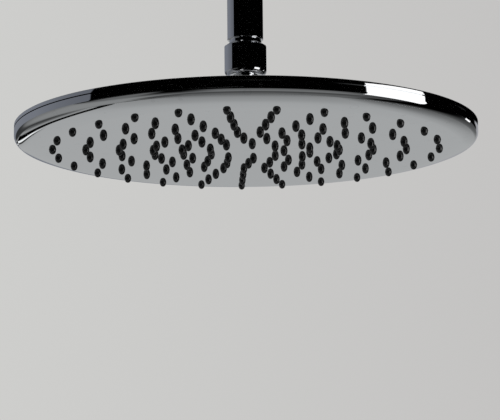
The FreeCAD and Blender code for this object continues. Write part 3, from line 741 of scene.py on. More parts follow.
class Section:
    """Half section of a turned piece: radius and height of its points, from one end to the other."""

    def __init__(self, radius: float, height: float) -> None:
        """Start the section.

        Args:
            radius: Radius of its first point.
            height: Height of its first point.
        """
        self.points: list[Point] = [(radius, height)]

    def line(self, radius: float, height: float) -> "Section":
        """Go straight to a point.

        Args:
            radius: Its radius.
            height: Its height.

        Returns:
            The section.
        """
        self.points.append((radius, height))
        return self

    def arc(self, centre: Point, bend: float, start: float, end: float, steps: int) -> "Section":
        """Go on along an arc.

        Args:
            centre: Radius and height of its centre.
            bend: Its radius.
            start: Angle where it starts, in degrees outwards from straight down.
            end: Angle where it ends.
            steps: Number of chords.

        Returns:
            The section.
        """
        for step in range(steps + 1):
            angle = math.radians(start + (end - start) * step / steps)
            self.points.append((centre[0] + bend * math.sin(angle), centre[1] - bend * math.cos(angle)))
        return self

    def draw(self) -> None:
        """Draw the section point by point as a new mesh, in edit mode."""
        first = self.points[0]
        start_point(Vector((first[0], 0.0, first[1])))
        for here, there in zip(self.points, self.points[1:]):
            step = (there[0] - here[0], 0.0, there[1] - here[1])
            bpy.ops.mesh.extrude_vertices_move(TRANSFORM_OT_translate={"value": step})

    def turn(self, name: str, steps: int, open_middle: bool = False) -> bpy.types.Object:
        """Turn the section about the arm's axis to a closed piece.

        Args:
            name: The piece's name.
            steps: Number of faces round it.
            open_middle: Join the section's ends, instead of closing each with a disc.

        Returns:
            The piece.
        """
        self.draw()
        ends: tuple[Point, ...] = (self.points[0], self.points[-1])
        if open_middle:
            edit_vertices(lambda place: any(abs(place.x - radius) + abs(place.z - height) < MATCH
                                            for radius, height in ends))
            bpy.ops.mesh.edge_face_add()
            ends = ()
        bpy.ops.mesh.select_all(action="SELECT")
        bpy.ops.mesh.spin(steps=steps, angle=math.tau, center=(0.0, 0.0, 0.0), axis=(0.0, 0.0, 1.0))
        bpy.ops.mesh.select_all(action="SELECT")
        bpy.ops.mesh.remove_doubles(threshold=MERGE)
        for radius, height in ends:
            edit_vertices(lambda place: abs(math.hypot(place.x, place.y) - radius) < BESIDE
                          and abs(place.z - height) < MATCH)
            bpy.ops.mesh.edge_face_add()
        return finish_mesh(name)


@dataclass(frozen=True)
class Ring:
    """Evenly spaced places on a circle about the arm's axis; the first angle is in degrees."""

    radius: float
    count: int
    angle: float

    def fill(self, piece: bpy.types.Object) -> bpy.types.Object:
        """Move a piece from the axis to the first place and copy its mesh to the others.

        Args:
            piece: A piece that stands on the axis.

        Returns:
            The same piece with all of its copies.
        """
        angle = math.radians(self.angle)
        pick(piece)
        bpy.ops.object.mode_set(mode="EDIT")
        bpy.ops.mesh.select_all(action="SELECT")
        first = (self.radius * math.cos(angle), self.radius * math.sin(angle), 0.0)
        bpy.ops.transform.translate(value=first)
        bpy.ops.mesh.spin(steps=self.count - 1, dupli=True, angle=math.tau * (self.count - 1) / self.count,
                          center=(0.0, 0.0, 0.0), axis=(0.0, 0.0, 1.0))
        bpy.ops.object.mode_set(mode="OBJECT")
        return piece


def pin(radius: float, low: float, high: float, sides: int = 32) -> bpy.types.Object:
    """Make a round tool on the arm's axis.

    Args:
        radius: Its radius.
        low: Height of its lower end.
        high: Height of its upper end.
        sides: Number of faces round it.

    Returns:
        The tool.
    """
    bpy.ops.object.select_all(action="DESELECT")
    bpy.ops.mesh.primitive_cylinder_add(vertices=sides, radius=radius, depth=high - low,
                                        location=(0.0, 0.0, (low + high) / 2.0))
    bpy.ops.object.transform_apply(location=True, rotation=True, scale=True)
    return bpy.context.object


def join_meshes(pieces: Sequence[bpy.types.Object]) -> bpy.types.Object:
    """Bring several meshes into the first.

    Args:
        pieces: The objects to bring together.

    Returns:
        The first object.
    """
    bpy.ops.object.select_all(action="DESELECT")
    for piece in pieces:
        piece.select_set(True)
    bpy.context.view_layer.objects.active = pieces[0]
    bpy.ops.object.join()
    return pieces[0]


def work(piece: bpy.types.Object, change: Change, tool: bpy.types.Object) -> None:
    """Join a tool to a piece or cut it out, and remove the tool.

    Args:
        piece: The piece to work.
        change: What the tool does.
        tool: The tool's object.
    """
    bpy.ops.object.select_all(action="DESELECT")
    bpy.context.view_layer.objects.active = piece
    cutter = piece.modifiers.new("work", "BOOLEAN")
    cutter.operation = change.value
    cutter.solver = "MANIFOLD"
    cutter.object = tool
    bpy.ops.object.modifier_apply(modifier=cutter.name)
    tool.select_set(True)
    bpy.ops.object.delete()


def shade(piece: bpy.types.Object, angle: float) -> None:
    """Shade a piece smooth up to an angle between its faces.

    Args:
        piece: The piece.
        angle: The angle in degrees.
    """
    pick(piece)
    bpy.ops.object.shade_smooth_by_angle(angle=math.radians(angle))


@dataclass
class PipeNipple:
    """Half-inch nipple with the turns of its pipe thread, open from end to end."""

    name: str
    outer: float
    foot: float
    shoulder: float
    top: float
    pitch: float = 1.814 * MM
    thread_depth: float = 1.162 * MM
    bore: float = 7.0 * MM
    grip: float = 9.7 * MM
    chamfer: float = 1.0 * MM
    profile_cuts: int = 9
    steps: int = 72
    spare_turns: int = 2
    merge: float = 1e-6
    smooth_angle: float = 40.0

    def flank(self, share: float) -> float:
        """Give the thread's radius at a share of one turn's height."""
        return self.outer - self.thread_depth * (0.5 + 0.5 * math.cos(math.tau * share))

    def profile(self) -> None:
        """Shape one turn's profile from the edge of a plane."""
        bpy.ops.object.select_all(action="DESELECT")
        bpy.ops.mesh.primitive_plane_add(size=1.0)
        bpy.ops.object.mode_set(mode="EDIT")
        edit_vertices(lambda place: place.x > 0.0)
        bpy.ops.mesh.delete(type="VERT")
        bpy.ops.mesh.select_all(action="SELECT")
        bpy.ops.mesh.subdivide(number_cuts=self.profile_cuts)
        start = self.shoulder - self.spare_turns * self.pitch

        def to_profile(place: Vector) -> Vector:
            """Put a point of the edge on the thread's flank."""
            share = place.y + 0.5
            return Vector((self.flank(share), 0.0, start + share * self.pitch))

        edit_vertices(lambda place: True, to_profile)
        bpy.ops.object.mode_set(mode="OBJECT")

    def turns(self) -> None:
        """Wind the profile up the nipple."""
        piece = bpy.context.object
        winding = piece.modifiers.new("winding", "SCREW")
        winding.axis = "Z"
        winding.angle = math.tau
        winding.screw_offset = self.pitch
        winding.iterations = math.ceil((self.top - self.shoulder) / self.pitch) + 2 * self.spare_turns
        winding.steps = self.steps
        winding.render_steps = self.steps
        winding.use_merge_vertices = True
        winding.merge_threshold = self.merge
        bpy.ops.object.modifier_apply(modifier=winding.name)

    def close(self) -> bpy.types.Object:
        """Cut the winding level at both ends and close it to a bored nipple.

        Returns:
            The finished piece.
        """
        cone_start = self.top - self.chamfer

        def in_chamfer(place: Vector) -> bool:
            """Say whether a point stands proud of the end's chamfer."""
            return math.hypot(place.x, place.y) > self.outer - max(0.0, place.z - cone_start)

        def to_chamfer(place: Vector) -> Vector:
            """Bring a proud point back to the chamfer."""
            return at_radius(self.outer - max(0.0, place.z - cone_start))(place)

        bpy.ops.object.mode_set(mode="EDIT")
        bpy.ops.mesh.select_all(action="SELECT")
        bpy.ops.mesh.bisect(plane_co=(0.0, 0.0, self.top), plane_no=(0.0, 0.0, 1.0), clear_outer=True,
                            threshold=MERGE)
        bpy.ops.mesh.extrude_edges_move()
        move_selected(at_radius(self.bore))
        bpy.ops.mesh.select_all(action="SELECT")
        bpy.ops.mesh.bisect(plane_co=(0.0, 0.0, self.shoulder), plane_no=(0.0, 0.0, 1.0), clear_inner=True,
                            threshold=MERGE)
        bpy.ops.mesh.extrude_edges_move()
        move_selected(at_radius(self.grip))
        bpy.ops.mesh.extrude_edges_move(
            TRANSFORM_OT_translate={"value": (0.0, 0.0, self.foot - self.shoulder)})
        bpy.ops.mesh.extrude_edges_move()
        move_selected(at_radius(self.bore))
        near_bore = self.bore + BESIDE
        edit_vertices(lambda place: math.hypot(place.x, place.y) < near_bore)
        bpy.ops.mesh.bridge_edge_loops()
        edit_vertices(in_chamfer, to_chamfer)
        piece = finish_mesh(self.name, self.merge)
        shade(piece, self.smooth_angle)
        return piece

    def build(self) -> bpy.types.Object:
        """Model the nipple.

        Returns:
            The finished piece, with its place in its mesh.
        """
        self.profile()
        self.turns()
        return self.close()


@dataclass
class DropArm:
    """Straight arm with its nipples, union nut and what lies in the water way."""

    seat_depth: float = 3.0 * MM

    def build(self) -> None:
        """Model the threaded nipple at the arm's upper end."""
        low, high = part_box("upper_nipple")
        nipple = PipeNipple("upper_nipple_thread", outer=high.x, foot=low.z, shoulder=-self.seat_depth,
                            top=high.z)
        install(nipple.build(), "upper_nipple", Finish.BRASS, "brass", Body.ARM)

    def dress(self) -> None:
        """Give the arm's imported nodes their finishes."""
        dress_nodes({
            "arm_tube": Finish.CHROME_FITTINGS,
            "lower_nipple": Finish.CHROME_FITTINGS,
            "union_nut": Finish.CHROME_FITTINGS,
            "ball_tail": Finish.CHROME_FITTINGS,
            "flow_regulator": Finish.WHITE_PLASTIC,
            "filter_washer": Finish.RUBBER,
            "filter_screen": Finish.STEEL,
        })


@dataclass
class CeilingRose:
    """Cover plate that slides on the arm, with the ring that holds it up."""

    def dress(self) -> None:
        """Give the rose and its ring their finishes."""
        dress_nodes({"ceiling_rose": Finish.CHROME_FITTINGS, "rose_grip_ring": Finish.RUBBER})


@dataclass
class BallSocket:
    """Ball joint between arm and head, with the neck that carries the head."""

    def dress(self) -> None:
        """Give the socket's nodes their finishes."""
        dress_nodes({
            "ball_seat": Finish.RUBBER,
            "slip_ring": Finish.WHITE_PLASTIC,
            "ball_cap": Finish.CHROME_FITTINGS,
            "inlet_neck": Finish.BRASS,
            "lock_nut": Finish.CHROME_FITTINGS,
            "lock_washer": Finish.WHITE_PLASTIC,
            "neck_washer": Finish.RUBBER,
        })


# Sizes and rings of places for the head's shells and nozzle mat
SHELL_WALL = 1.6 * MM
FACE_FLAT = 127.8 * MM
SHELL_STEPS = 360
SHELL_SMOOTH_ANGLE = 30.0
NOZZLE_LINES = 27
LINE_ANGLE = 11.6
NOZZLE_RINGS = (
    Ring(125.2 * MM, NOZZLE_LINES, LINE_ANGLE),
    Ring(103.866 * MM, NOZZLE_LINES, LINE_ANGLE),
    Ring(82.407 * MM, NOZZLE_LINES, LINE_ANGLE),
    Ring(60.434 * MM, NOZZLE_LINES, LINE_ANGLE),
    Ring(41.904 * MM, 18, 8.0),
    Ring(24.527 * MM, 9, 39.0),
)
OUTER_POSTS = Ring(136.55 * MM, 12, 15.0)
INNER_POSTS = Ring(71.44 * MM, 9, 18.27)


@dataclass
class DomedShell:
    """Upper shell turned in one sweep: shallow dome, strip above the seam and spigot inside the rim."""

    face: float
    rim: float
    neck: float = 15.8 * MM
    flat: float = 24.0 * MM
    top: float = 25.0 * MM
    rim_top: float = 14.3 * MM
    edge: float = 0.2 * MM
    strip: float = SEAM_HIGH
    spigot_foot: float = 8.5 * MM
    spigot_outer: float = 148.25 * MM
    dome_steps: int = 24
    edge_steps: int = 4

    def dome(self, section: Section, edge: float, low: float, high: float, outwards: bool) -> None:
        """Go along one side of the dome.

        Args:
            section: The section to go on with.
            edge: Radius where the dome ends.
            low: Height of its edge.
            high: Height of its flat middle.
            outwards: Go from the middle to the edge.
        """
        run = edge - self.flat
        bend = (run ** 2 + (high - low) ** 2) / (2.0 * (high - low))
        lean = 180.0 - math.degrees(math.asin(run / bend))
        start, end = (180.0, lean) if outwards else (lean, 180.0)
        section.arc((self.flat, high - bend), bend, start, end, self.dome_steps)

    def build(self) -> bpy.types.Object:
        """Model the shell.

        Returns:
            The finished piece.
        """
        face = self.face
        edge = self.edge
        spigot_inner = self.spigot_outer - SHELL_WALL
        shell = Section(self.neck, face + self.top - SHELL_WALL)
        self.dome(shell, spigot_inner, face + self.rim_top - SHELL_WALL, face + self.top - SHELL_WALL, True)
        shell.line(spigot_inner, face + self.spigot_foot)
        shell.line(self.spigot_outer, face + self.spigot_foot)
        shell.line(self.spigot_outer, face + self.strip)
        shell.line(self.rim, face + self.strip)
        shell.arc((self.rim - edge, face + self.rim_top - edge), edge, 90.0, 180.0, self.edge_steps)
        self.dome(shell, self.rim - edge, face + self.rim_top, face + self.top, False)
        shell.line(self.neck, face + self.top)
        piece = shell.turn("domed_shell", SHELL_STEPS, open_middle=True)
        shade(piece, SHELL_SMOOTH_ANGLE)
        return piece


@dataclass
class MirrorFace:
    """Face plate turned in one sweep, so that it mirrors without facets, with posts and nozzle holes."""

    face: float
    rim: float
    sweep: float = 51.006 * MM
    lean: float = 22.368
    corner: float = 4.5 * MM
    corner_height: float = 8.0 * MM
    seam: float = SEAM_LOW
    chamber: float = 8.6 * MM
    post: float = 3.5 * MM
    post_hole: float = 1.75 * MM
    post_hole_depth: float = 4.8 * MM
    post_hole_sides: int = 20
    nozzle_hole: float = 2.45 * MM
    lead: float = 0.1 * MM
    posts: tuple[tuple[Ring, float], ...] = ((OUTER_POSTS, 1.68 * MM), (INNER_POSTS, 0.8 * MM))
    sweep_steps: int = 28
    corner_steps: int = 18
    inner_corner_steps: int = 8
    inner_sweep_steps: int = 10

    def turned(self) -> bpy.types.Object:
        """Turn the plate without its posts and holes.

        Returns:
            The plate.
        """
        sweep_centre = (FACE_FLAT, self.face + self.sweep)
        corner_centre = (self.rim - self.corner, self.face + self.corner_height)
        plate = Section(FACE_FLAT - self.lead, self.face)
        plate.arc(sweep_centre, self.sweep, 0.0, self.lean, self.sweep_steps)
        plate.arc(corner_centre, self.corner, self.lean, 90.0, self.corner_steps)
        plate.line(self.rim, self.face + self.seam)
        plate.line(self.rim - SHELL_WALL, self.face + self.seam)
        plate.arc(corner_centre, self.corner - SHELL_WALL, 90.0, self.lean, self.inner_corner_steps)
        plate.arc(sweep_centre, self.sweep - SHELL_WALL, self.lean, 0.0, self.inner_sweep_steps)
        plate.line(FACE_FLAT - self.lead, self.face + SHELL_WALL)
        return plate.turn("mirror_face", SHELL_STEPS)

    def build(self) -> bpy.types.Object:
        """Model the plate with its posts and holes.

        Returns:
            The finished piece.
        """
        plate = self.turned()
        top = self.face + self.chamber
        for ring, foot in self.posts:
            work(plate, Change.JOIN, ring.fill(pin(self.post, self.face + foot, top)))
        for ring, _ in self.posts:
            drill = pin(self.post_hole, top - self.post_hole_depth, top + MM, self.post_hole_sides)
            work(plate, Change.CUT, ring.fill(drill))
        holes = [ring.fill(pin(self.nozzle_hole, self.face - MM, self.face + SHELL_WALL + MM))
                 for ring in NOZZLE_RINGS]
        work(plate, Change.CUT, join_meshes(holes))
        shade(plate, SHELL_SMOOTH_ANGLE)
        return plate


@dataclass
class NozzleMat:
    """Rubber sheet behind the face with a round-nosed, bored nozzle through every hole."""

    face: float
    thickness: float = 2.0 * MM
    outer: float = 131.8 * MM
    chamfer: float = 0.6 * MM
    root: float = 2.35 * MM
    bore: float = 0.6 * MM
    nose: tuple[Point, ...] = ((0.0, 1.0), (0.3, 0.96), (0.5, 0.89), (0.68, 0.78), (0.82, 0.65),
                               (0.92, 0.5), (0.98, 0.36), (1.0, 0.285))
    length: float = 3.6 * MM
    edge_length: float = 3.1 * MM
    sides: int = 16
    sheet_steps: int = 180
    post_gap: float = 3.8 * MM
    smooth_angle: float = 50.0

    def nozzle(self, length: float) -> bpy.types.Object:
        """Turn one nozzle on the axis.

        Args:
            length: How far it stands out of the face.

        Returns:
            The nozzle, closed at both ends.
        """
        nozzle = Section(self.root, self.face + SHELL_WALL + self.thickness / 2.0)
        for drop, width in self.nose:
            nozzle.line(self.root * width, self.face - length * drop)
        return nozzle.turn("nozzle", self.sides)

    def build(self) -> bpy.types.Object:
        """Model the mat.

        Returns:
            The finished piece.
        """
        low = self.face + SHELL_WALL
        high = low + self.thickness
        sheet = Section(FACE_FLAT, low).line(self.outer, low + self.chamfer)
        mat = sheet.line(self.outer, high).turn("bored_nozzle_mat", self.sheet_steps)
        work(mat, Change.CUT, INNER_POSTS.fill(pin(self.post_gap, low - MM, high + MM)))
        lengths = [self.edge_length] + [self.length] * (len(NOZZLE_RINGS) - 1)
        nozzles = [ring.fill(self.nozzle(length)) for ring, length in zip(NOZZLE_RINGS, lengths)]
        work(mat, Change.JOIN, join_meshes(nozzles))
        bores = [ring.fill(pin(self.bore, self.face - self.length - MM, high + MM, self.sides))
                 for ring in NOZZLE_RINGS]
        work(mat, Change.CUT, join_meshes(bores))
        shade(mat, self.smooth_angle)
        return mat


@dataclass
class SprayHead:
    """Round head: two chromed shells, nozzle mat, chamber plate and screws."""

    def build(self) -> None:
        """Model the two shells and the nozzle mat."""
        made = (
            (DomedShell(FACE, RIM).build(), "top_shell", Finish.CHROME_SHELL, "chrome_shell"),
            (MirrorFace(FACE, RIM).build(), "face_plate", Finish.CHROME_SHELL, "chrome_shell"),
            (NozzleMat(FACE).build(), "nozzle_mat", Finish.SILICONE, "black_silicone"),
        )
        for piece, node, finish, slot in made:
            install(piece, node, finish, slot, Body.HEAD)

    def dress(self) -> None:
        """Give the head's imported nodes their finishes."""
        dress_nodes({"back_plate": Finish.BLACK_PLASTIC, "clamp_screws": Finish.STEEL})


@dataclass(frozen=True)
class Card:
    """An upright glowing card beside the shower, seen only in its reflections."""

    name: str
    start: Point
    finish: Point
    bottom: float
    top: float
    colour: Colour = grey(1.3)

    def material(self) -> bpy.types.Material:
        """Make the card's plain glowing material.

        Returns:
            The material.
        """
        material = bpy.data.materials.new(self.name)
        material.use_nodes = True
        graph = Graph(material.node_tree)
        material.node_tree.nodes.clear()
        light = graph.add("ShaderNodeEmission")
        light.inputs["Color"].default_value = (*self.colour, 1.0)
        output = graph.add("ShaderNodeOutputMaterial")
        graph.feed(light.outputs["Emission"], output.inputs["Surface"])
        return material

    def build(self) -> None:
        """Stand the card at its place."""
        first = Vector((*self.start, self.bottom))
        last = Vector((*self.finish, self.top))
        run = Vector((last.x - first.x, last.y - first.y))
        bpy.ops.object.select_all(action="DESELECT")
        bpy.ops.mesh.primitive_plane_add(size=1.0, location=(first + last) / 2.0,
                                         rotation=(math.pi / 2.0, 0.0, math.atan2(run.y, run.x)))
        card = bpy.context.object
        card.name = self.name
        card.scale = (run.length, self.top - self.bottom, 1.0)
        card.visible_camera = False
        card.visible_shadow = False
        card.data.materials.append(self.material())
        LOG.info("stood %s", self.name)


@dataclass(frozen=True)
class Heading:
    """Which way a ray of the world goes, as sockets.

    Across is to the right, depth away from the camera, height up and below down. Turn is the bearing from
    the camera's side, positive to the right, and aside the same to either side. Pitch goes from the back
    over below to the front. Near is 1 towards the camera.
    """

    across: bpy.types.NodeSocket
    depth: bpy.types.NodeSocket
    height: bpy.types.NodeSocket
    below: bpy.types.NodeSocket
    turn: bpy.types.NodeSocket
    aside: bpy.types.NodeSocket
    pitch: bpy.types.NodeSocket
    near: bpy.types.NodeSocket

    near_depth: ClassVar[Span] = (-0.3, 0.1)

    @classmethod
    def read(cls, graph: Graph) -> "Heading":
        """Wire the heading of the world's rays.

        Args:
            graph: The world's graph.

        Returns:
            The heading.
        """
        parts = graph.add("ShaderNodeSeparateXYZ")
        graph.feed(graph.add("ShaderNodeTexCoord").outputs["Generated"], parts.inputs["Vector"])
        across, depth, height = (parts.outputs[word] for word in ("X", "Y", "Z"))
        below = graph.sum(Step.MULTIPLY, height, -1.0)
        turn = graph.sum(Step.ANGLE, across, graph.sum(Step.MULTIPLY, depth, -1.0))
        return cls(across, depth, height, below, turn,
                   aside=graph.sum(Step.ABSOLUTE, turn),
                   pitch=graph.sum(Step.ANGLE, below, depth),
                   near=graph.spread(depth, *cls.near_depth, 1.0, 0.0))


@dataclass
class MirroredWalls:
    """Upper half of the studio: slate wall to the left, black flags and a ceiling, brightest overhead."""

    slate_near: Colour = (0.135, 0.144, 0.167)
    slate_far: Colour = (0.195, 0.208, 0.24)
    slate_turn: Span = radians((-130.0, -82.0))
    slate_end: Span = radians((-80.2, -79.2))
    dusk: Colour = grey(0.1)
    dusk_aside: Span = radians((145.0, 178.0))
    dusk_height: Span = (0.24, 0.3)
    pale_edge: Colour = (0.36, 0.365, 0.385)
    pale_edge_turn: Span = radians((151.0, 156.0))
    pale_edge_height: Span = (0.2052, 0.2072)
    ceiling_low: Colour = grey(0.1)
    ceiling_high: Colour = grey(0.4)
    ceiling_height: Span = (0.4, 1.0)
    side_lift: Span = (0.28, 0.62)
    flag_lift: Span = (0.86, 0.97)
    flag_aside: Span = radians((150.0, 168.0))

    def wire(self, graph: Graph, way: Heading) -> bpy.types.NodeSocket:
        """Wire the walls and the ceiling.

        Args:
            graph: The world's graph.
            way: The ray's heading.

        Returns:
            The colour's socket.
        """
        slate = graph.mix(graph.spread(way.turn, *self.slate_turn), self.slate_far, self.slate_near)
        left = graph.spread(way.turn, *self.slate_end, 1.0, 0.0)
        meeting = graph.sum(Step.MULTIPLY, graph.spread(way.aside, *self.dusk_aside),
                            graph.spread(way.height, *self.dusk_height))
        behind = graph.sum(Step.MULTIPLY, graph.spread(way.turn, *self.pale_edge_turn),
                           graph.spread(way.height, *self.pale_edge_height, 1.0, 0.0))
        dark = graph.mix(meeting, graph.mix(left, BLACK, slate), self.dusk)
        sides = graph.mix(behind, dark, self.pale_edge)
        flagged = graph.sum(Step.MAXIMUM, graph.spread(way.aside, *self.flag_aside), way.near)
        lift = graph.mix(flagged, graph.spread(way.height, *self.side_lift),
                         graph.spread(way.height, *self.flag_lift))
        ceiling = graph.mix(graph.spread(way.height, *self.ceiling_height),
                            self.ceiling_low, self.ceiling_high)
        return graph.mix(lift, sides, ceiling)


@dataclass
class MirroredFloor:
    """Lower half of the studio: pale behind, dark to the right and in front, banded at the left."""

    tint: Colour = (0.977, 1.0, 1.007)
    middle_pitch: Span = radians((0.0, 180.0))
    middle_tones: tuple[Point, ...] = (
        (0.17, 0.415), (0.2, 0.4), (0.24, 0.34), (0.285, 0.29), (0.32, 0.15), (0.42, 0.13),
        (0.51, 0.1), (0.6, 0.05), (0.69, 0.19), (0.785, 0.15), (0.86, 0.12), (0.9, 0.0))
    right_aside: Span = radians((120.0, 170.0))
    right_tones: tuple[Point, ...] = (
        (0.04, 0.0), (0.16, 0.006), (0.28, 0.03), (0.37, 0.052), (0.6, 0.09), (0.74, 0.13),
        (0.8, 0.2), (0.88, 0.34), (0.96, 0.415))
    right_across: Span = (-0.05, 0.0)
    back_pitch: Span = radians((80.0, 95.0))
    back_below: Span = (0.82, 0.9)
    front_across: Span = (0.6, 0.95)
    front_least: float = 0.35
    outer_slope: float = 0.6
    outer_slant: Span = (-0.9, -0.6)
    outer_tones: tuple[Point, ...] = (
        (0.0, 0.26), (0.333, 0.22), (0.5, 0.17), (0.667, 0.08), (0.833, 0.05), (1.0, 0.04))
    outer_pitch: Span = radians((85.0, 150.0))
    outer_deep: Span = (0.84, 0.92)
    outer_deep_least: float = 0.2
    outer_shallow: Span = (0.0, 0.4)
    outer_shallow_least: float = 0.75
    line_across: Span = (-0.36, -0.22)
    line_tones: tuple[Point, ...] = (
        (0.0, 0.0), (0.107, 0.04), (0.214, 0.06), (0.321, 0.16), (0.414, 0.32), (0.475, 0.28), (0.504, 0.0),
        (0.668, 0.0), (0.69, 1.1), (0.75, 1.1), (0.77, 0.02), (0.815, 0.02), (0.84, 0.38), (1.0, 0.42))
    plain: Colour = grey(0.42)
    plain_below: Span = (0.28, 0.4)
    plain_depth: Span = (0.5, 0.7)
    plain_across: Span = (-0.2665, -0.2655)
    gleam_start: float = 0.5
    inner_far: Span = (-0.335, -0.325)
    inner_near: Span = (-0.5, -0.15)
    glow_level: float = 0.14
    glow_across: Span = (-0.75, -0.6)
    glow_below: Span = (0.1, 0.2)

    def middle(self, graph: Graph, way: Heading) -> bpy.types.NodeSocket:
        """Wire the floor's middle and right: pale at the back, darker to the right and to the front.

        Args:
            graph: The world's graph.
            way: The ray's heading.

        Returns:
            The grey's socket.
        """
        along = graph.greys(way.pitch, self.middle_pitch, self.middle_tones)
        aside = graph.sum(Step.MAXIMUM, graph.greys(way.aside, self.right_aside, self.right_tones),
                          graph.spread(way.across, *self.right_across, 1.0, 0.0))
        back = graph.sum(Step.MULTIPLY, graph.spread(way.pitch, *self.back_pitch, 1.0, 0.0),
                         graph.spread(way.below, *self.back_below, 1.0, 0.0))
        front = graph.sum(Step.MULTIPLY, along,
                          graph.spread(way.across, *self.front_across, 1.0, self.front_least))
        return graph.mix(back, front, graph.sum(Step.MINIMUM, along, aside))

    def outer(self, graph: Graph, way: Heading) -> bpy.types.NodeSocket:
        """Wire the floor's far left, which fades to the front, straight below and at the horizon.

        Args:
            graph: The world's graph.
            way: The ray's heading.

        Returns:
            The grey's socket.
        """
        slant = graph.sum(Step.SUBTRACT, way.across, graph.sum(Step.MULTIPLY, way.below, self.outer_slope))
        level = graph.greys(slant, self.outer_slant, self.outer_tones)
        for fade in (graph.spread(way.pitch, *self.outer_pitch, 1.0, 0.0),
                     graph.spread(way.below, *self.outer_deep, 1.0, self.outer_deep_least),
                     graph.spread(way.below, *self.outer_shallow, self.outer_shallow_least, 1.0)):
            level = graph.sum(Step.MULTIPLY, level, fade)
        return level

    def banded(self, graph: Graph, way: Heading, lines: bpy.types.NodeSocket) -> bpy.types.NodeSocket:
        """Wire the floor's middle, bounded at the left by bright and dark lines.

        Args:
            graph: The world's graph.
            way: The ray's heading.
            lines: The lines' greys.

        Returns:
            The grey's socket.
        """
        away = graph.sum(Step.MAXIMUM, graph.spread(way.below, *self.plain_below),
                         graph.spread(way.depth, *self.plain_depth, 1.0, 0.0))
        plain = graph.sum(Step.MULTIPLY, away, graph.spread(way.across, *self.plain_across))
        stripes = graph.mix(graph.sum(Step.MAXIMUM, plain, way.near), lines, self.plain)
        gleam = graph.sum(Step.MAXIMUM, 0.0, graph.sum(Step.SUBTRACT, stripes, self.gleam_start))
        return graph.sum(Step.ADD, gleam, graph.sum(Step.MINIMUM, self.middle(graph, way), stripes))

    def wire(self, graph: Graph, way: Heading) -> bpy.types.NodeSocket:
        """Wire the whole floor.

        Args:
            graph: The world's graph.
            way: The ray's heading.

        Returns:
            The colour's socket.
        """
        lines = graph.greys(way.across, self.line_across, self.line_tones)
        outer = graph.sum(Step.MAXIMUM, self.outer(graph, way), graph.mix(way.near, lines, BLACK))
        inward = graph.mix(way.near, graph.spread(way.across, *self.inner_far),
                           graph.spread(way.across, *self.inner_near))
        aglow = graph.sum(Step.MULTIPLY, graph.spread(way.across, *self.glow_across, self.glow_level, 0.0),
                          graph.sum(Step.MULTIPLY, way.near, graph.spread(way.below, *self.glow_below)))
        tone = graph.sum(Step.MAXIMUM, aglow, graph.mix(inward, outer, self.banded(graph, way, lines)))
        return graph.mix(tone, BLACK, self.tint)


@dataclass
class Surroundings:
    """World round the shower: pale backdrop, soft light and a studio for the chrome to mirror."""

    backdrop_left: Colour = (0.617, 0.617, 0.604)
    backdrop_right: Colour = (0.552, 0.546, 0.54)
    backdrop_across: Span = (-0.14, 0.14)
    soft_light: float = 0.7
    horizon: Span = (-0.03, 0.03)

    def build(self) -> None:
        """Wire the world's light."""
        world = bpy.data.worlds.new("studio")
        bpy.context.scene.world = world
        world.use_nodes = True
        graph = Graph(world.node_tree)
        world.node_tree.nodes.clear()
        way = Heading.read(graph)
        studio = graph.mix(graph.spread(way.height, *self.horizon), MirroredFloor().wire(graph, way),
                           MirroredWalls().wire(graph, way))
        backdrop = graph.mix(graph.spread(way.across, *self.backdrop_across, smooth=False),
                             self.backdrop_left, self.backdrop_right)
        rays = graph.add("ShaderNodeLightPath").outputs
        mirrored = graph.mix(rays["Is Glossy Ray"], grey(self.soft_light), studio)
        light = graph.add("ShaderNodeBackground")
        graph.feed(graph.mix(rays["Is Camera Ray"], mirrored, backdrop), light.inputs["Color"])
        output = graph.add("ShaderNodeOutputWorld")
        graph.feed(light.outputs["Background"], output.inputs["Surface"])


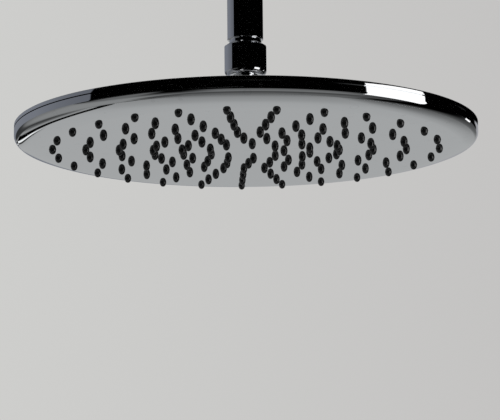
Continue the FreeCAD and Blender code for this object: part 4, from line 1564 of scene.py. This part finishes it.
@dataclass
class Studio:
    """Camera, floor, cards and lamps."""

    picture: tuple[int, int] = (500, 420)
    focal_pixels: float = 1815.8
    face_pixel: Point = (246.26, 151.15)
    eye: tuple[float, float, float] = (0.0, -1.1583, -0.2306)
    roll: float = 0.5
    sensor: float = 36.0
    clip: Span = (0.01, 100.0)
    floor_drop: float = 2.1
    floor_size: float = 24.0
    floor_low: Colour = grey(0.72)
    floor_high: Colour = grey(0.75)
    floor_roughness: float = 0.8
    cloud_scale: float = 2.0
    cloud_span: Span = (0.3, 0.7)

    def face_centre(self) -> Vector:
        """Give the middle of the spray face."""
        return Vector((0.0, 0.0, FACE))

    def camera(self) -> None:
        """Place the camera so that the face's middle falls on its pixel."""
        target = self.face_centre()
        bpy.ops.object.camera_add(location=target + Vector(self.eye))
        camera = bpy.context.object
        camera.name = "camera"
        camera.data.sensor_fit = "HORIZONTAL"
        camera.data.sensor_width = self.sensor
        camera.data.lens = self.focal_pixels / self.picture[0] * self.sensor
        camera.data.clip_start, camera.data.clip_end = self.clip
        seen = Vector((
            (self.face_pixel[0] - self.picture[0] / 2.0) / self.focal_pixels,
            (self.picture[1] / 2.0 - self.face_pixel[1]) / self.focal_pixels,
            -1.0,
        ))
        ahead = Vector((0.0, 0.0, -1.0))
        aim = (target - camera.location).to_track_quat("-Z", "Y")
        lean = Quaternion((0.0, 0.0, 1.0), -math.radians(self.roll))
        camera.rotation_mode = "QUATERNION"
        camera.rotation_quaternion = aim @ lean @ seen.rotation_difference(ahead)
        bpy.context.scene.camera = camera

    def floor(self) -> None:
        """Lay a pale floor far below the head."""
        bpy.ops.object.select_all(action="DESELECT")
        bpy.ops.mesh.primitive_plane_add(size=self.floor_size, location=(0.0, 0.0, FACE - self.floor_drop))
        floor = bpy.context.object
        floor.name = "floor"
        floor.visible_glossy = False
        material, graph, shader, place = new_material("pale_floor")
        grain = MouldedGrain.use(graph, place, Slow=self.cloud_scale)
        clouds = graph.spread(grain.outputs["Shade"], *self.cloud_span)
        graph.feed(graph.mix(clouds, self.floor_low, self.floor_high), shader.inputs["Base Color"])
        shader.inputs["Roughness"].default_value = self.floor_roughness
        floor.data.materials.append(material)

    def cards(self) -> None:
        """Stand the cards that the rim and the arm mirror."""
        cards = (
            Card("white_card", start=(0.371, -0.311), finish=(0.4544, -0.0695),
                 bottom=FACE - 0.135, top=FACE + 0.13),
            Card("small_card", start=(0.39, 0.174), finish=(0.365, 0.212),
                 bottom=FACE - 0.032, top=FACE + 0.02),
            Card("upper_card", start=(-0.25, -0.3), finish=(-0.11, -0.36),
                 bottom=FACE + 0.42, top=FACE + 0.54),
        )
        for card in cards:
            card.build()

    def lamp(self, name: str, place: tuple[float, float, float], size: float, power: float) -> None:
        """Hang one soft lamp that points at the head.

        Args:
            name: The lamp's name.
            place: Where it hangs, from the face's middle.
            size: Width of its square.
            power: Its power in watts.
        """
        centre = self.face_centre()
        bpy.ops.object.light_add(type="AREA", location=centre + Vector(place))
        lamp = bpy.context.object
        lamp.name = name
        lamp.data.size = size
        lamp.data.energy = power
        lamp.rotation_mode = "QUATERNION"
        lamp.rotation_quaternion = (centre - lamp.location).to_track_quat("-Z", "Y")
        lamp.visible_glossy = False

    def lamps(self) -> None:
        """Hang the soft lamps."""
        self.lamp("key_lamp", place=(1.1, -0.9, 0.9), size=0.9, power=14.0)
        self.lamp("fill_lamp", place=(-1.2, -0.6, -0.5), size=1.0, power=6.0)

    def build(self) -> None:
        """Set up everything round the shower."""
        self.camera()
        self.floor()
        self.cards()
        self.lamps()
        Surroundings().build()
        bpy.context.scene.view_settings.view_transform = "Standard"


def main() -> None:
    """Build the sub-assemblies in order, then the studio."""
    logging.basicConfig(level=logging.INFO, format="%(name)s: %(message)s")
    arm, head = DropArm(), SprayHead()
    arm.build()
    head.build()
    for part in (arm, CeilingRose(), BallSocket(), head):
        part.dress()
        LOG.info("finished %s", type(part).__name__)
    Studio().build()


if __name__ == "__main__":
    main()
